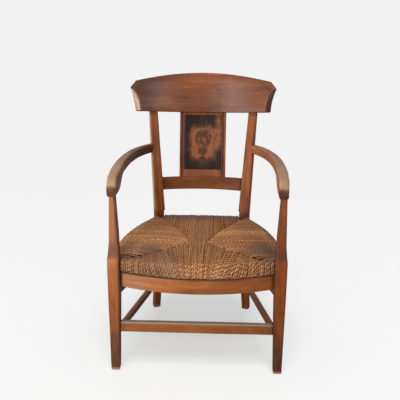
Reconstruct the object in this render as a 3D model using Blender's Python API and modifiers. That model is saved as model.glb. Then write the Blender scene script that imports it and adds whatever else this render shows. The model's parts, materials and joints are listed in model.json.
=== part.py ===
"""Rush-seated armchair: raked back with a curved crest and a splat, swept arms, rush woven over four rails.

Metres, +Z up. The chair faces -Y and stands on the floor with its footprint centred on the origin.
Left and right are as seen from the front: left is -X. Depths are measured back from the front plane,
which is the front face of the front legs below the knee.
"""

import math

import bmesh
import bpy
from mathutils import Matrix, Vector

# Height of the seat frame's upper edge at the back posts, where leg turns into stile
SEAT_HEIGHT = 0.400

# Joinery
FIT = 0.0003
TENON_DEPTH = 0.013
SIDE_TENON_DEPTH = 0.010
TENON_THICKNESS = 0.008
TENON_SHOULDER = 0.005
EDGE_ROUND = 0.002

# Front legs, one piece with the posts that carry the arms
LEG_OUTER_X = 0.2745
FOOT_WIDTH = 0.027
FOOT_DEPTH = 0.030
FOOT_INSET = 0.003
FOOT_WEAR = 0.003
KNEE_DROP = 0.024
KNEE_WIDTH = 0.037
KNEE_DEPTH = 0.043
TAPER_DROP = 0.086
NECK_RISE = 0.070
NECK_WIDTH = 0.0275
NECK_DEPTH = 0.036
NECK_INSET = 0.0045
NECK_SETBACK = 0.020
POST_WIDTH = 0.018
POST_DEPTH = 0.028
POST_INSET = 0.0065
POST_SETBACK = 0.032
POST_RISE = 0.175
LEG_ROUND = 0.0025

# Back posts: rear leg and stile in one piece
BACK_SEAT_X = 0.1565
BACK_SEAT_Y = 0.434
BACK_SPLAY_X = 0.020
BACK_SPLAY_Y = 0.0395
BACK_LEG_SWEEP = 1.5
BACK_FOOT_SIZE = 0.027
STILE_WIDTH = 0.037
STILE_DEPTH = 0.034
STILE_FLARE = 0.025
STILE_TOP_WIDTH = 0.029
STILE_TOP_DEPTH = 0.024
STILE_STEP = 0.004
STILE_STEP_RISE = 0.012
STILE_TENON_LENGTH = 0.036
BACK_TURN = math.radians(18)
BACK_RAKE = math.radians(9.5)

# Back, measured up the raked stiles from the seat height
BACK_RADIUS = 0.50
CREST_BASE = 0.370
CREST_HEIGHT = 0.143
CREST_ARCH = 0.035
CREST_CORNER_DROP = 0.025
CREST_CORNER_CUT = 0.0185
CREST_OVERHANG = 0.0645
CREST_FLARE = 0.0175
CREST_FLARE_CURVE = 1.9
CREST_END_SKEW = 0.021
CREST_TOP_SKEW = 0.010
CREST_THICKNESS = 0.028
LOWER_RAIL_BASE = 0.084
LOWER_RAIL_HEIGHT = 0.046
LOWER_RAIL_THICKNESS = 0.021
SPLAT_WIDTH = 0.170
SPLAT_THICKNESS = 0.011
SPLAT_TONGUE = 0.009
SPLAT_TONGUE_THICKNESS = 0.006
SPLAT_GROOVE_INSET = 0.0115
SPLAT_GROOVE_WIDTH = 0.003
SPLAT_GROOVE_DEPTH = 0.002

# Arms: the front block covers the post, and the rest lifts clear to a slimmer section
ARM_OVERHANG = 0.029
ARM_INSET = 0.005
ARM_SWELL_OUT = 0.0075
ARM_SWELL_BACK = 0.172
ARM_BEND_OUT = 0.0115
ARM_BEND_LEAD = 0.1085
ARM_FRONT_WIDTH = 0.034
ARM_REAR_WIDTH = 0.020
ARM_WIDTH_CURVE = 2.0
ARM_END_OUT = 0.0075
ARM_BLOCK_HEIGHT = 0.055
ARM_BLOCK_MARGIN = 0.003
ARM_LIFT_LENGTH = 0.095
ARM_REAR_RISE = 0.022
ARM_THICKNESS = 0.032
ARM_NOSE_ROUND = 0.030
ARM_NOSE_DROP = 0.027
ARM_NOSE_TAPER = 0.002
ARM_ROUND = 0.005
ARM_TENON_HEIGHT = 0.020
ARM_TENON_AHEAD = 0.0015
POST_TENON_LENGTH = 0.024

# Seat rails, hidden in the rush, and how far in front of or behind the legs' middle they lie
RAIL_DROP = 0.043
RAIL_TALL = 0.024
RAIL_THICKNESS = 0.018
FRONT_RAIL_BACK = 0.0085
FRONT_RAIL_BOW = 0.048
SIDE_BOW = 0.016
BACK_BOW = 0.006

# Front apron below the rush
APRON_GAP = 0.0015
APRON_HEIGHT = 0.0485
APRON_THICKNESS = 0.018
APRON_BACK = 0.0075
APRON_BOW = 0.052
APRON_TENON_SHOULDER = 0.010

# Rush seat
RUSH_CROWN_DROP = 0.012
RUSH_RIM_RISE = 0.0245
RUSH_RIM_REACH = 0.0195
RUSH_CORNER_REACH = 0.0129
RUSH_SIDE_SWELL = 0.019
RUSH_SWELL_CURVE = 1.4
RUSH_REAR_LIFT = 0.0085
RUSH_LIFT_START = 0.030
RUSH_LIFT_LENGTH = 0.150
RUSH_SEAM_DIP = 0.0035
RUSH_BRIDGE_HALF = 0.026
RUSH_BRIDGE_Y = 0.155
RUSH_CLEARANCE = 0.0006

# Stretchers
FRONT_STRETCHER_HEIGHT = 0.149
FRONT_STRETCHER_TALL = 0.034
FRONT_STRETCHER_THICKNESS = 0.018
UPPER_STRETCHER_DROP = 0.141
UPPER_STRETCHER_TALL = 0.026
LOWER_STRETCHER_HEIGHT = 0.120
LOWER_STRETCHER_TALL = 0.020
SIDE_STRETCHER_THICKNESS = 0.016
BACK_STRETCHER_HEIGHT = 0.170
BACK_STRETCHER_TALL = 0.026
BACK_STRETCHER_THICKNESS = 0.016

# Wooden pegs through the tenons, driven from faces that the sitter doesn't see
PEG_RADIUS = 0.003
PEG_LENGTH = 0.022
PEG_PROUD = 0.0005
PEG_SIDES = 10

# Facets of the curved pieces, and the shares of a run or turn at which their sections stand
ARC_STEPS = 14
CREST_COLUMNS = 22
CREST_ROWS = 4
ARM_STEPS = 15
NECK_STEPS = (0.0, 0.2, 0.45, 0.7, 1.0)
BACK_LEG_STEPS = (0.2, 0.4, 0.6, 0.8, 1.0)
ARM_NOSE_ANGLES = (0, 30, 55, 75, 90)
RUSH_EDGE_STEPS = 12
RUSH_TOP_STEPS = (0.08, 0.3, 0.55, 0.8)
RUSH_RIM_ANGLES = (90, 60, 30, 0, -30, -60, -90)
RUSH_UNDER_STEPS = (0.7, 0.35, 0.08)
BISECTIONS = 40

# Levels and places that follow from the sizes above
KNEE_HEIGHT = SEAT_HEIGHT - KNEE_DROP
TAPER_HEIGHT = KNEE_HEIGHT - TAPER_DROP
NECK_HEIGHT = KNEE_HEIGHT + NECK_RISE
ARM_REST_HEIGHT = SEAT_HEIGHT + POST_RISE
ARM_FRONT_TOP = ARM_REST_HEIGHT + ARM_BLOCK_HEIGHT
ARM_REAR_TOP = ARM_FRONT_TOP + ARM_REAR_RISE
ARM_NOSE_Y = POST_SETBACK - ARM_OVERHANG
STILE_STEP_HEIGHT = SEAT_HEIGHT + STILE_STEP_RISE
STILE_TOP_X = BACK_SEAT_X + STILE_FLARE
CREST_HALF_BASE = STILE_TOP_X + CREST_OVERHANG
CREST_HALF_WIDEST = CREST_HALF_BASE + CREST_FLARE
CREST_CORNER = (CREST_HALF_WIDEST - CREST_CORNER_CUT) / CREST_HALF_WIDEST
CREST_CORNER_HEIGHT = CREST_HEIGHT - CREST_ARCH
CREST_WIDEST_HEIGHT = CREST_CORNER_HEIGHT - CREST_CORNER_DROP
RAIL_LEVEL = SEAT_HEIGHT - RAIL_DROP
APRON_TOP = RAIL_LEVEL - RUSH_RIM_RISE - APRON_GAP
RUSH_TOP = SEAT_HEIGHT - RUSH_CROWN_DROP
UPPER_STRETCHER_HEIGHT = SEAT_HEIGHT - UPPER_STRETCHER_DROP
BAND_OVERRUN = KNEE_WIDTH / 3

SIDES = {"left": -1, "right": 1}


def clear_scene():
    for obj in list(bpy.data.objects):
        bpy.data.objects.remove(obj, do_unlink=True)


def new_collection(name):
    collection = bpy.data.collections.new(name)
    bpy.context.scene.collection.children.link(collection)
    return collection


def new_material(name, color, roughness):
    material = bpy.data.materials.new(name)
    material.use_nodes = True
    shader = material.node_tree.nodes["Principled BSDF"]
    shader.inputs["Base Color"].default_value = (*color, 1.0)
    shader.inputs["Roughness"].default_value = roughness
    shader.inputs["Metallic"].default_value = 0.0
    return material


clear_scene()
PARTS = new_collection("straw_armchair")
CUTTERS = new_collection("cutters")
BASE = bpy.data.objects.new("chair_base", None)
PARTS.objects.link(BASE)
LEG_WOOD = new_material("leg_wood", (0.34, 0.13, 0.045), 0.42)
BACK_WOOD = new_material("back_wood", (0.22, 0.075, 0.032), 0.38)
ARM_WOOD = new_material("arm_wood", (0.36, 0.19, 0.085), 0.45)
INNER_WOOD = new_material("inner_wood", (0.42, 0.27, 0.14), 0.6)
PANEL_WOOD = new_material("panel_wood", (0.20, 0.08, 0.035), 0.4)
PEG_WOOD = new_material("peg_wood", (0.27, 0.11, 0.045), 0.5)
RUSH = new_material("rush", (0.40, 0.24, 0.10), 0.8)


# Shared modelling steps


def place(obj, matrix, material=None):
    """Link a part, or a cutter where no material is given, and hang it on the chair's base."""
    collection = PARTS if material else CUTTERS
    collection.objects.link(obj)
    obj.parent = BASE
    obj.matrix_world = matrix
    if material:
        obj.data.materials.append(material)
    else:
        obj.hide_render = True
        obj.display_type = "WIRE"
    return obj


def mesh_from(name, mesh, build):
    """Fill a mesh through a bmesh, with its faces turned outwards."""
    work = bmesh.new()
    build(work)
    bmesh.ops.recalc_face_normals(work, faces=work.faces[:])
    work.to_mesh(mesh)
    work.free()
    return bpy.data.objects.new(name, mesh)


def loft(name, rings, matrix, material=None):
    """A closed skin through rings of equal point count, capped at both ends."""

    def build(work):
        rows = [[work.verts.new(point) for point in ring] for ring in rings]
        count = len(rows[0])
        for lower, upper in zip(rows, rows[1:]):
            for i in range(count):
                j = (i + 1) % count
                work.faces.new((lower[i], lower[j], upper[j], upper[i]))
        work.faces.new(rows[0])
        work.faces.new(rows[-1])

    return place(mesh_from(name, bpy.data.meshes.new(name), build), matrix, material)


def block(name, size, matrix, material=None):
    """A box of the given size, centred on the matrix."""

    def build(work):
        bmesh.ops.create_cube(work, size=1.0)
        bmesh.ops.scale(work, vec=size, verts=work.verts[:])

    return place(mesh_from(name, bpy.data.meshes.new(name), build), matrix, material)


def rod(name, radius, length, matrix, material=None):
    """A round rod along the matrix's Z axis, centred on it."""

    def build(work):
        bmesh.ops.create_cone(
            work, cap_ends=True, segments=PEG_SIDES, radius1=radius, radius2=radius, depth=length
        )

    obj = place(mesh_from(name, bpy.data.meshes.new(name), build), matrix, material)
    obj.data.shade_smooth()
    obj.data.set_sharp_from_angle(angle=math.radians(50))
    return obj


def arc_band(name, half_chord, bow, thickness, tall, matrix, material=None, overrun=0.0):
    """A curved board: a plan band along X that bows towards -Y, as tall as given. Its chord is measured
    between two faces, and the arc runs on past each of them by the overrun."""
    radius = (half_chord**2 + bow**2) / (2 * bow)
    sweep = math.asin(half_chord / radius) + overrun / radius
    angles = [sweep * (2 * i / ARC_STEPS - 1) for i in range(ARC_STEPS + 1)]
    outline = []
    for reach, order in ((radius + thickness / 2, angles), (radius - thickness / 2, angles[::-1])):
        for angle in order:
            outline.append((reach * math.sin(angle), radius - bow - reach * math.cos(angle)))
    curve = bpy.data.curves.new(name, "CURVE")
    curve.dimensions = "2D"
    curve.fill_mode = "BOTH"
    curve.extrude = tall / 2
    spline = curve.splines.new("POLY")
    spline.points.add(len(outline) - 1)
    for point, (x, y) in zip(spline.points, outline):
        point.co = (x, y, 0, 1)
    spline.use_cyclic_u = True
    guide = bpy.data.objects.new(name + "_outline", curve)
    bpy.context.scene.collection.objects.link(guide)
    graph = bpy.context.evaluated_depsgraph_get()
    mesh = bpy.data.meshes.new_from_object(guide.evaluated_get(graph))
    bpy.data.objects.remove(guide)
    mesh.name = name

    def build(work):
        work.from_mesh(mesh)
        bmesh.ops.remove_doubles(work, verts=work.verts[:], dist=FIT / 10)

    return place(mesh_from(name, mesh, build), matrix, material)


def boolean(obj, other, operation):
    modifier = obj.modifiers.new(f"{operation.lower()}_{other.name}"[:60], "BOOLEAN")
    modifier.operation = operation
    modifier.object = other
    modifier.solver = "EXACT"


def soften(obj, width=EDGE_ROUND):
    """Break the sharp edges, as a scraper would."""
    modifier = obj.modifiers.new("eased_edges", "BEVEL")
    modifier.width = width
    modifier.segments = 1
    modifier.limit_method = "ANGLE"
    modifier.angle_limit = math.radians(40)


def facing(direction, origin):
    """A matrix at origin with X along direction and Z as near upright as that allows."""
    x = Vector(direction).normalized()
    steep = abs(x.z) > math.hypot(x.x, x.y)
    up = Vector((0, 1, 0)) if steep else Vector((0, 0, 1))
    y = up.cross(x).normalized()
    z = x.cross(y)
    rotation = Matrix((x, y, z)).transposed().to_4x4()
    return Matrix.Translation(origin) @ rotation


def rounded_section(width, depth, radius):
    """Corners of a rectangle with eased edges, anticlockwise, three points to a corner."""
    points = []
    for turn, (sx, sy) in enumerate(((1, 1), (-1, 1), (-1, -1), (1, -1))):
        for step in range(3):
            angle = math.radians(90 * turn + 45 * step)
            x = sx * (width / 2 - radius) + radius * math.cos(angle)
            y = sy * (depth / 2 - radius) + radius * math.sin(angle)
            points.append((x, y))
    return points


def between(a, b, t):
    return a + (b - a) * t


# Front legs


def leg_section(height):
    """Inset of the outer face, width, setback of the front face and depth of a front leg at a height."""
    if height <= TAPER_HEIGHT:
        t = height / TAPER_HEIGHT
        width = between(FOOT_WIDTH, KNEE_WIDTH, t)
        return between(FOOT_INSET, 0, t), width, 0.0, between(FOOT_DEPTH, KNEE_DEPTH, t)
    if height <= KNEE_HEIGHT:
        return 0.0, KNEE_WIDTH, 0.0, KNEE_DEPTH
    if height <= NECK_HEIGHT:
        t = (height - KNEE_HEIGHT) / (NECK_HEIGHT - KNEE_HEIGHT)
        t = 1 - (1 - t) ** 2
        width = between(KNEE_WIDTH, NECK_WIDTH, t)
        depth = between(KNEE_DEPTH, NECK_DEPTH, t)
        return between(0, NECK_INSET, t), width, between(0, NECK_SETBACK, t), depth
    t = (height - NECK_HEIGHT) / (ARM_REST_HEIGHT - NECK_HEIGHT)
    width = between(NECK_WIDTH, POST_WIDTH, t)
    depth = between(NECK_DEPTH, POST_DEPTH, t)
    return between(NECK_INSET, POST_INSET, t), width, between(NECK_SETBACK, POST_SETBACK, t), depth


def leg_centre(height):
    """Centre of the right front leg's section at a height."""
    inset, width, setback, depth = leg_section(height)
    return Vector((LEG_OUTER_X - inset - width / 2, setback + depth / 2, height))


def leg_inner_x(height):
    return leg_centre(height).x - leg_section(height)[1] / 2


def leg_back_y(height):
    return leg_centre(height).y + leg_section(height)[3] / 2


def worn_foot(ring, size):
    """A foot's ring drawn in to its flat sole, which rounds the foot's edge."""
    middle = sum((Vector(point) for point in ring), Vector()) / len(ring)
    keep = 1 - 2 * FOOT_WEAR / size
    return [(between(middle.x, x, keep), between(middle.y, y, keep), 0.0) for x, y, _ in ring]


def leg_rings(side, grow):
    top = ARM_REST_HEIGHT - FIT
    necks = [between(KNEE_HEIGHT, NECK_HEIGHT, t) for t in NECK_STEPS]
    heights = [FOOT_WEAR, TAPER_HEIGHT / 2, TAPER_HEIGHT] + necks + [(NECK_HEIGHT + top) / 2, top]
    rings = []
    for height in heights:
        centre = leg_centre(height)
        _, width, _, depth = leg_section(height)
        section = rounded_section(width + 2 * grow, depth + 2 * grow, LEG_ROUND)
        rings.append([(side * (centre.x + x), centre.y + y, height) for x, y in section])
    return [worn_foot(rings[0], FOOT_WIDTH)] + rings


# Back posts


def stile_x(rise):
    """Distance of a stile's centre from the middle plane at a rise up the raked back."""
    return BACK_SEAT_X + STILE_FLARE * rise / CREST_BASE


def post_centre(height):
    """Centre of the right back post at a height: swept back below the seat, raked above it."""
    if height <= SEAT_HEIGHT:
        t = (1 - height / SEAT_HEIGHT) ** BACK_LEG_SWEEP
        return Vector((BACK_SEAT_X + BACK_SPLAY_X * t, BACK_SEAT_Y + BACK_SPLAY_Y * t, height))
    rise = (height - SEAT_HEIGHT) / math.cos(BACK_RAKE)
    return Vector((stile_x(rise), BACK_SEAT_Y + rise * math.sin(BACK_RAKE), height))


def post_section(height):
    """Width and depth of a back post, and how far its inner edge is cut back below the step."""
    if height <= SEAT_HEIGHT:
        t = height / SEAT_HEIGHT
        width = between(BACK_FOOT_SIZE, STILE_WIDTH, t)
        return width, between(BACK_FOOT_SIZE, STILE_DEPTH, t), STILE_STEP * t
    t = (height - SEAT_HEIGHT) / (CREST_BASE * math.cos(BACK_RAKE))
    step = STILE_STEP if height < STILE_STEP_HEIGHT else 0.0
    return between(STILE_WIDTH, STILE_TOP_WIDTH, t), between(STILE_DEPTH, STILE_TOP_DEPTH, t), step


def post_ring(height, side, grow):
    centre = post_centre(height)
    width, depth, step = post_section(height)
    turn = Matrix.Rotation(-BACK_TURN, 2)
    ring = []
    for x, y in rounded_section(width - step + 2 * grow, depth + 2 * grow, LEG_ROUND):
        offset = turn @ Vector((x + step / 2, y))
        ring.append((side * (centre.x + offset.x), centre.y + offset.y, height))
    return ring


def post_rings(side, grow):
    top = SEAT_HEIGHT + (CREST_BASE + CREST_HEIGHT / 4) * math.cos(BACK_RAKE)
    leg = [FOOT_WEAR] + [SEAT_HEIGHT * t for t in BACK_LEG_STEPS]
    step = STILE_STEP_HEIGHT - STILE_STEP
    rings = [post_ring(height, side, grow) for height in leg + [step, STILE_STEP_HEIGHT, top]]
    return [worn_foot(rings[0], BACK_FOOT_SIZE)] + rings


def post_back_y(height, x):
    """Depth of the right back post's rear face at a height and a distance from the middle plane."""
    centre = post_centre(height)
    reach = post_section(height)[1] / 2
    return centre.y + (reach - (x - centre.x) * math.sin(BACK_TURN)) / math.cos(BACK_TURN)


# The raked back: X across, Y back from the stiles' centre plane, Z up the stiles from the seat height
BACK = Matrix.Translation((0, BACK_SEAT_Y, SEAT_HEIGHT)) @ Matrix.Rotation(-BACK_RAKE, 4, "X")


def sagitta(x):
    """How far the back's concave sweep comes forward at x from its deepest line."""
    return BACK_RADIUS - math.sqrt(BACK_RADIUS**2 - x**2)


def back_band(name, half, thickness, tall, frame, material=None):
    """A curved board on the back's sweep, with the middle of its board at the frame's origin."""
    bow = sagitta(half)
    matrix = frame @ Matrix.Translation((0, -bow, 0)) @ Matrix.Rotation(math.pi, 4, "Z")
    return arc_band(name, half, bow, thickness, tall, matrix, material)


LEGS = {}
POSTS = {}
LEG_SHAPES = {}
POST_SHAPES = {}


def back_cut(name, rise):
    """A cutter in the raked back, as tall and deep as two crests, with its middle at a rise."""
    size = (4 * CREST_HALF_WIDEST, 2 * CREST_HEIGHT, 2 * CREST_HEIGHT)
    return block(name, size, BACK @ Matrix.Translation((0, 0, rise)))


def make_uprights():
    crest_seat = back_cut("crest_seat_cut", CREST_BASE - FIT + CREST_HEIGHT)
    for side_name, side in SIDES.items():
        LEGS[side_name] = loft(f"front_leg_{side_name}", leg_rings(side, 0), Matrix(), LEG_WOOD)
        LEG_SHAPES[side_name] = loft(f"front_leg_{side_name}_shape", leg_rings(side, FIT), Matrix())
        post = loft(f"back_post_{side_name}", post_rings(side, 0), Matrix(), BACK_WOOD)
        boolean(post, crest_seat, "DIFFERENCE")
        POSTS[side_name] = post
        POST_SHAPES[side_name] = loft(f"back_post_{side_name}_shape", post_rings(side, FIT), Matrix())


# Joints


def tenon(tail, host, shoulder, direction, tall, thickness=TENON_THICKNESS, depth=TENON_DEPTH, lift=0.0):
    """Grow a tenon on the tail piece, lifted from its middle line, and sink its mortise in the host."""
    root = TENON_SHOULDER
    matrix = facing(direction, shoulder) @ Matrix.Translation(((depth - root) / 2, 0, lift))
    length = depth + root
    tongue = block(f"tenon_{tail.name}_{host.name}", (length, thickness, tall), matrix)
    size = (length + 2 * FIT, thickness + 2 * FIT, tall + 2 * FIT)
    mortise = block(f"mortise_{tail.name}_{host.name}", size, matrix)
    boolean(tail, tongue, "UNION")
    boolean(host, mortise, "DIFFERENCE")


def peg(name, surface, direction, hosts):
    """Drive a peg from a point on a surface, through every piece in hosts."""
    axis = Vector(direction).normalized()
    turn = axis.to_track_quat("Z", "Y").to_matrix().to_4x4()
    middle = Vector(surface) + axis * (PEG_LENGTH / 2 - PEG_PROUD)
    rod(name, PEG_RADIUS, PEG_LENGTH, Matrix.Translation(middle) @ turn, PEG_WOOD)
    hole = Matrix.Translation(middle - axis * (PEG_LENGTH - FIT) / 2) @ turn
    bore = rod(f"{name}_hole", PEG_RADIUS + FIT, 2 * PEG_LENGTH + FIT, hole)
    for host in hosts:
        boolean(host, bore, "DIFFERENCE")


def peg_in_post(name, x, height, side_name, tail):
    """Drive a peg from behind through a back post and the tenon that it holds."""
    face = Vector((SIDES[side_name] * x, post_back_y(height, x), height))
    peg(name, face, (0, -1, 0), (POSTS[side_name], tail))


def scribe(piece, shapes):
    """Fit a piece's shoulders to the uprights it meets."""
    for shape in shapes:
        boolean(piece, shape, "DIFFERENCE")


# Seat frame


def rail_ends():
    """Where the side rail's centre line starts in the right front leg and ends in the right back post."""
    return leg_centre(RAIL_LEVEL), post_centre(RAIL_LEVEL)


def front_rail_shoulder():
    """Where the front rail's centre line meets the right leg's inner face."""
    return Vector((leg_inner_x(RAIL_LEVEL), leg_centre(RAIL_LEVEL).y + FRONT_RAIL_BACK, RAIL_LEVEL))


def rail_run(start, end):
    """Matrix and half chord of a rail from start to end, bowing to the right of its run."""
    run = end - start
    return facing(run, (start + end) / 2), run.length / 2


def seat_rail_runs():
    """Start, end and bow of each seat rail, each bowing outwards. The front rail's chord lies between
    the legs' inner faces, and the others' between the middles of the uprights."""
    front, back = rail_ends()
    shoulder = front_rail_shoulder()
    flip = Vector((-1, 1, 1))
    return {
        "front": (shoulder * flip, shoulder, FRONT_RAIL_BOW),
        "right": (front, back, SIDE_BOW),
        "back": (back, back * flip, BACK_BOW),
        "left": (back * flip, front * flip, SIDE_BOW),
    }


def make_seat_rails():
    """The four rails. In each upright the cross rail's tenon passes above the side rail's."""
    rails = {}
    for name, (start, end, bow) in seat_rail_runs().items():
        matrix, half = rail_run(start, end)
        overrun = BAND_OVERRUN if name == "front" else 0.0
        size = (half, bow, RAIL_THICKNESS, RAIL_TALL)
        rails[name] = arc_band(f"seat_rail_{name}", *size, matrix, INNER_WOOD, overrun)
    scribe(rails["front"], LEG_SHAPES.values())
    scribe(rails["back"], POST_SHAPES.values())
    front, back = rail_ends()
    swing = 2 * math.atan2(SIDE_BOW, (back - front).length / 2)
    run = (back - front).normalized()
    leaving = Matrix.Rotation(-swing, 3, "Z") @ run
    arriving = Matrix.Rotation(swing, 3, "Z") @ run
    width, depth, _ = post_section(RAIL_LEVEL)
    lift = (RAIL_TALL / 2 - TENON_SHOULDER) / 2
    tall = 2 * lift - 4 * FIT
    for side_name, side in SIDES.items():
        flip = Vector((side, 1, 1))
        leg = LEGS[side_name]
        post = POSTS[side_name]
        rail = rails[side_name]
        scribe(rail, (LEG_SHAPES[side_name], POST_SHAPES[side_name]))
        along = Vector((side, 0, 0))
        tenon(rails["front"], leg, front_rail_shoulder() * flip, along, tall, lift=lift)
        shoulder = Vector((back.x - width / 2, back.y + TENON_THICKNESS / 2, RAIL_LEVEL))
        tenon(rails["back"], post, shoulder * flip, along, tall, depth=width / 2, lift=lift)
        shoulder = front + leaving * ((leg_back_y(RAIL_LEVEL) - front.y) / leaving.y)
        tenon(rail, leg, shoulder * flip, -leaving * flip, tall, depth=SIDE_TENON_DEPTH, lift=-lift)
        shoulder = back - arriving * depth / 2
        tenon(rail, post, shoulder * flip, arriving * flip, tall, depth=SIDE_TENON_DEPTH, lift=-lift)


def make_apron():
    height = APRON_TOP - APRON_HEIGHT / 2
    half = leg_inner_x(height)
    end_y = leg_centre(height).y + APRON_BACK
    size = (half, APRON_BOW, APRON_THICKNESS, APRON_HEIGHT)
    apron = arc_band("front_apron", *size, Matrix.Translation((0, end_y, height)), LEG_WOOD, BAND_OVERRUN)
    soften(apron)
    scribe(apron, LEG_SHAPES.values())
    for side_name, side in SIDES.items():
        shoulder = Vector((side * half, end_y, height))
        tenon(apron, LEGS[side_name], shoulder, (side, 0, 0), APRON_HEIGHT - 2 * APRON_TENON_SHOULDER)


# Stretchers


def bar(name, start, end, thickness, tall, material):
    run = end - start
    piece = block(name, (run.length, thickness, tall), facing(run, (start + end) / 2), material)
    soften(piece)
    return piece


def make_front_stretcher():
    height = FRONT_STRETCHER_HEIGHT
    end = leg_centre(height)
    start = end * Vector((-1, 1, 1))
    piece = bar("front_stretcher", start, end, FRONT_STRETCHER_THICKNESS, FRONT_STRETCHER_TALL, LEG_WOOD)
    scribe(piece, LEG_SHAPES.values())
    for side_name, side in SIDES.items():
        shoulder = Vector((side * leg_inner_x(height), end.y, height))
        tenon(piece, LEGS[side_name], shoulder, (side, 0, 0), FRONT_STRETCHER_TALL - 2 * TENON_SHOULDER)
        face = Vector((shoulder.x + side * TENON_DEPTH / 2, leg_back_y(height), height))
        peg(f"peg_front_stretcher_{side_name}", face, (0, -1, 0), (LEGS[side_name], piece))


def make_back_stretcher():
    height = BACK_STRETCHER_HEIGHT
    end = post_centre(height)
    start = end * Vector((-1, 1, 1))
    piece = bar("back_stretcher", start, end, BACK_STRETCHER_THICKNESS, BACK_STRETCHER_TALL, LEG_WOOD)
    scribe(piece, POST_SHAPES.values())
    width = post_section(height)[0]
    tall = BACK_STRETCHER_TALL - 2 * TENON_SHOULDER
    for side_name, side in SIDES.items():
        shoulder = Vector((side * (end.x - width / 2), end.y, height))
        tenon(piece, POSTS[side_name], shoulder, (side, 0, 0), tall, depth=width / 2)
        peg_in_post(f"peg_back_stretcher_{side_name}", end.x - width / 4, height, side_name, piece)


def make_side_stretchers():
    levels = {
        "upper": (UPPER_STRETCHER_HEIGHT, UPPER_STRETCHER_TALL),
        "lower": (LOWER_STRETCHER_HEIGHT, LOWER_STRETCHER_TALL),
    }
    for level, (height, tall) in levels.items():
        for side_name, side in SIDES.items():
            flip = Vector((side, 1, 1))
            start = leg_centre(height) * flip
            end = post_centre(height) * flip
            name = f"side_stretcher_{level}_{side_name}"
            piece = bar(name, start, end, SIDE_STRETCHER_THICKNESS, tall, LEG_WOOD)
            scribe(piece, (LEG_SHAPES[side_name], POST_SHAPES[side_name]))
            run = (end - start).normalized()
            tongue = tall - 2 * TENON_SHOULDER
            front = start + run * ((leg_back_y(height) - start.y) / run.y)
            tenon(piece, LEGS[side_name], front, -run, tongue, depth=SIDE_TENON_DEPTH)
            back = end - run * post_section(height)[1] / 2
            tenon(piece, POSTS[side_name], back, run, tongue, depth=SIDE_TENON_DEPTH)


# Back


def crest_half(height):
    """Half width of the crest's back face at a height above its base: the ends flare upwards."""
    t = min(1.0, height / CREST_WIDEST_HEIGHT)
    return CREST_HALF_BASE + CREST_FLARE * t**CREST_FLARE_CURVE


def crest_skew(height):
    """How much narrower the crest's front face is at each end: less towards the top."""
    return between(CREST_END_SKEW, CREST_TOP_SKEW, min(1.0, height / CREST_WIDEST_HEIGHT))


def crest_top(share):
    """Height of the crest's top edge at a share of its half width: an arch with cut corners."""
    if abs(share) <= CREST_CORNER:
        return CREST_HEIGHT - CREST_ARCH * (share / CREST_CORNER) ** 2
    cut = (abs(share) - CREST_CORNER) / (1 - CREST_CORNER)
    return CREST_CORNER_HEIGHT - CREST_CORNER_DROP * cut


def crest_shares():
    inner = [CREST_CORNER * (2 * i / CREST_COLUMNS - 1) for i in range(CREST_COLUMNS + 1)]
    return [-1.0] + inner + [1.0]


def make_crest():
    shares = crest_shares()

    def face(work, depth, skewed):
        columns = []
        for share in shares:
            column = []
            for row in range(CREST_ROWS + 1):
                height = crest_top(share) * row / CREST_ROWS
                x = share * (crest_half(height) - skewed * crest_skew(height))
                y = sagitta(STILE_TOP_X) - sagitta(x) + depth
                column.append(work.verts.new((x, y, height)))
            columns.append(column)
        return columns

    def build(work):
        front = face(work, -CREST_THICKNESS / 2, 1)
        back = face(work, CREST_THICKNESS / 2, 0)
        for grid in (front, back):
            for left, right in zip(grid, grid[1:]):
                for row in range(CREST_ROWS):
                    work.faces.new((left[row], right[row], right[row + 1], left[row + 1]))
        for row in (0, CREST_ROWS):
            for i in range(len(shares) - 1):
                work.faces.new((front[i][row], front[i + 1][row], back[i + 1][row], back[i][row]))
        for column in (0, -1):
            for row in range(CREST_ROWS):
                near, far = front[column], back[column]
                work.faces.new((near[row], near[row + 1], far[row + 1], far[row]))

    crest = mesh_from("crest_rail", bpy.data.meshes.new("crest_rail"), build)
    place(crest, BACK @ Matrix.Translation((0, 0, CREST_BASE)), BACK_WOOD)
    soften(crest)
    up = BACK.to_3x3() @ Vector((0, 0, 1))
    inward = BACK.to_3x3() @ Vector((0, -1, 0))
    for side_name, side in SIDES.items():
        root = BACK @ Vector((side * STILE_TOP_X, 0, CREST_BASE - FIT))
        width = STILE_TOP_WIDTH - 2 * TENON_SHOULDER
        tenon(POSTS[side_name], crest, root, up, TENON_THICKNESS, width, STILE_TENON_LENGTH)
        rear = Vector((side * STILE_TOP_X, CREST_THICKNESS / 2, CREST_BASE + STILE_TENON_LENGTH / 2))
        peg(f"peg_crest_{side_name}", BACK @ rear, inward, (POSTS[side_name], crest))
    return crest


def make_lower_rail():
    rise = LOWER_RAIL_BASE + LOWER_RAIL_HEIGHT / 2
    half = stile_x(rise)
    frame = BACK @ Matrix.Translation((0, sagitta(half), rise))
    rail = back_band("lower_back_rail", half, LOWER_RAIL_THICKNESS, LOWER_RAIL_HEIGHT, frame, BACK_WOOD)
    soften(rail)
    scribe(rail, POST_SHAPES.values())
    height = (BACK @ Vector((0, 0, rise))).z
    width = post_section(height)[0]
    sweep = math.asin(half / BACK_RADIUS)
    for side_name, side in SIDES.items():
        along = BACK.to_3x3() @ Vector((side * math.cos(sweep), -math.sin(sweep), 0))
        shoulder = BACK @ Vector((side * half, 0, rise)) - along * width / 2
        tenon(rail, POSTS[side_name], shoulder, along, LOWER_RAIL_HEIGHT - 2 * TENON_SHOULDER)
        x = abs(shoulder.x + along.x * TENON_DEPTH / 2)
        peg_in_post(f"peg_lower_rail_{side_name}", x, height, side_name, rail)
    return rail


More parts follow.
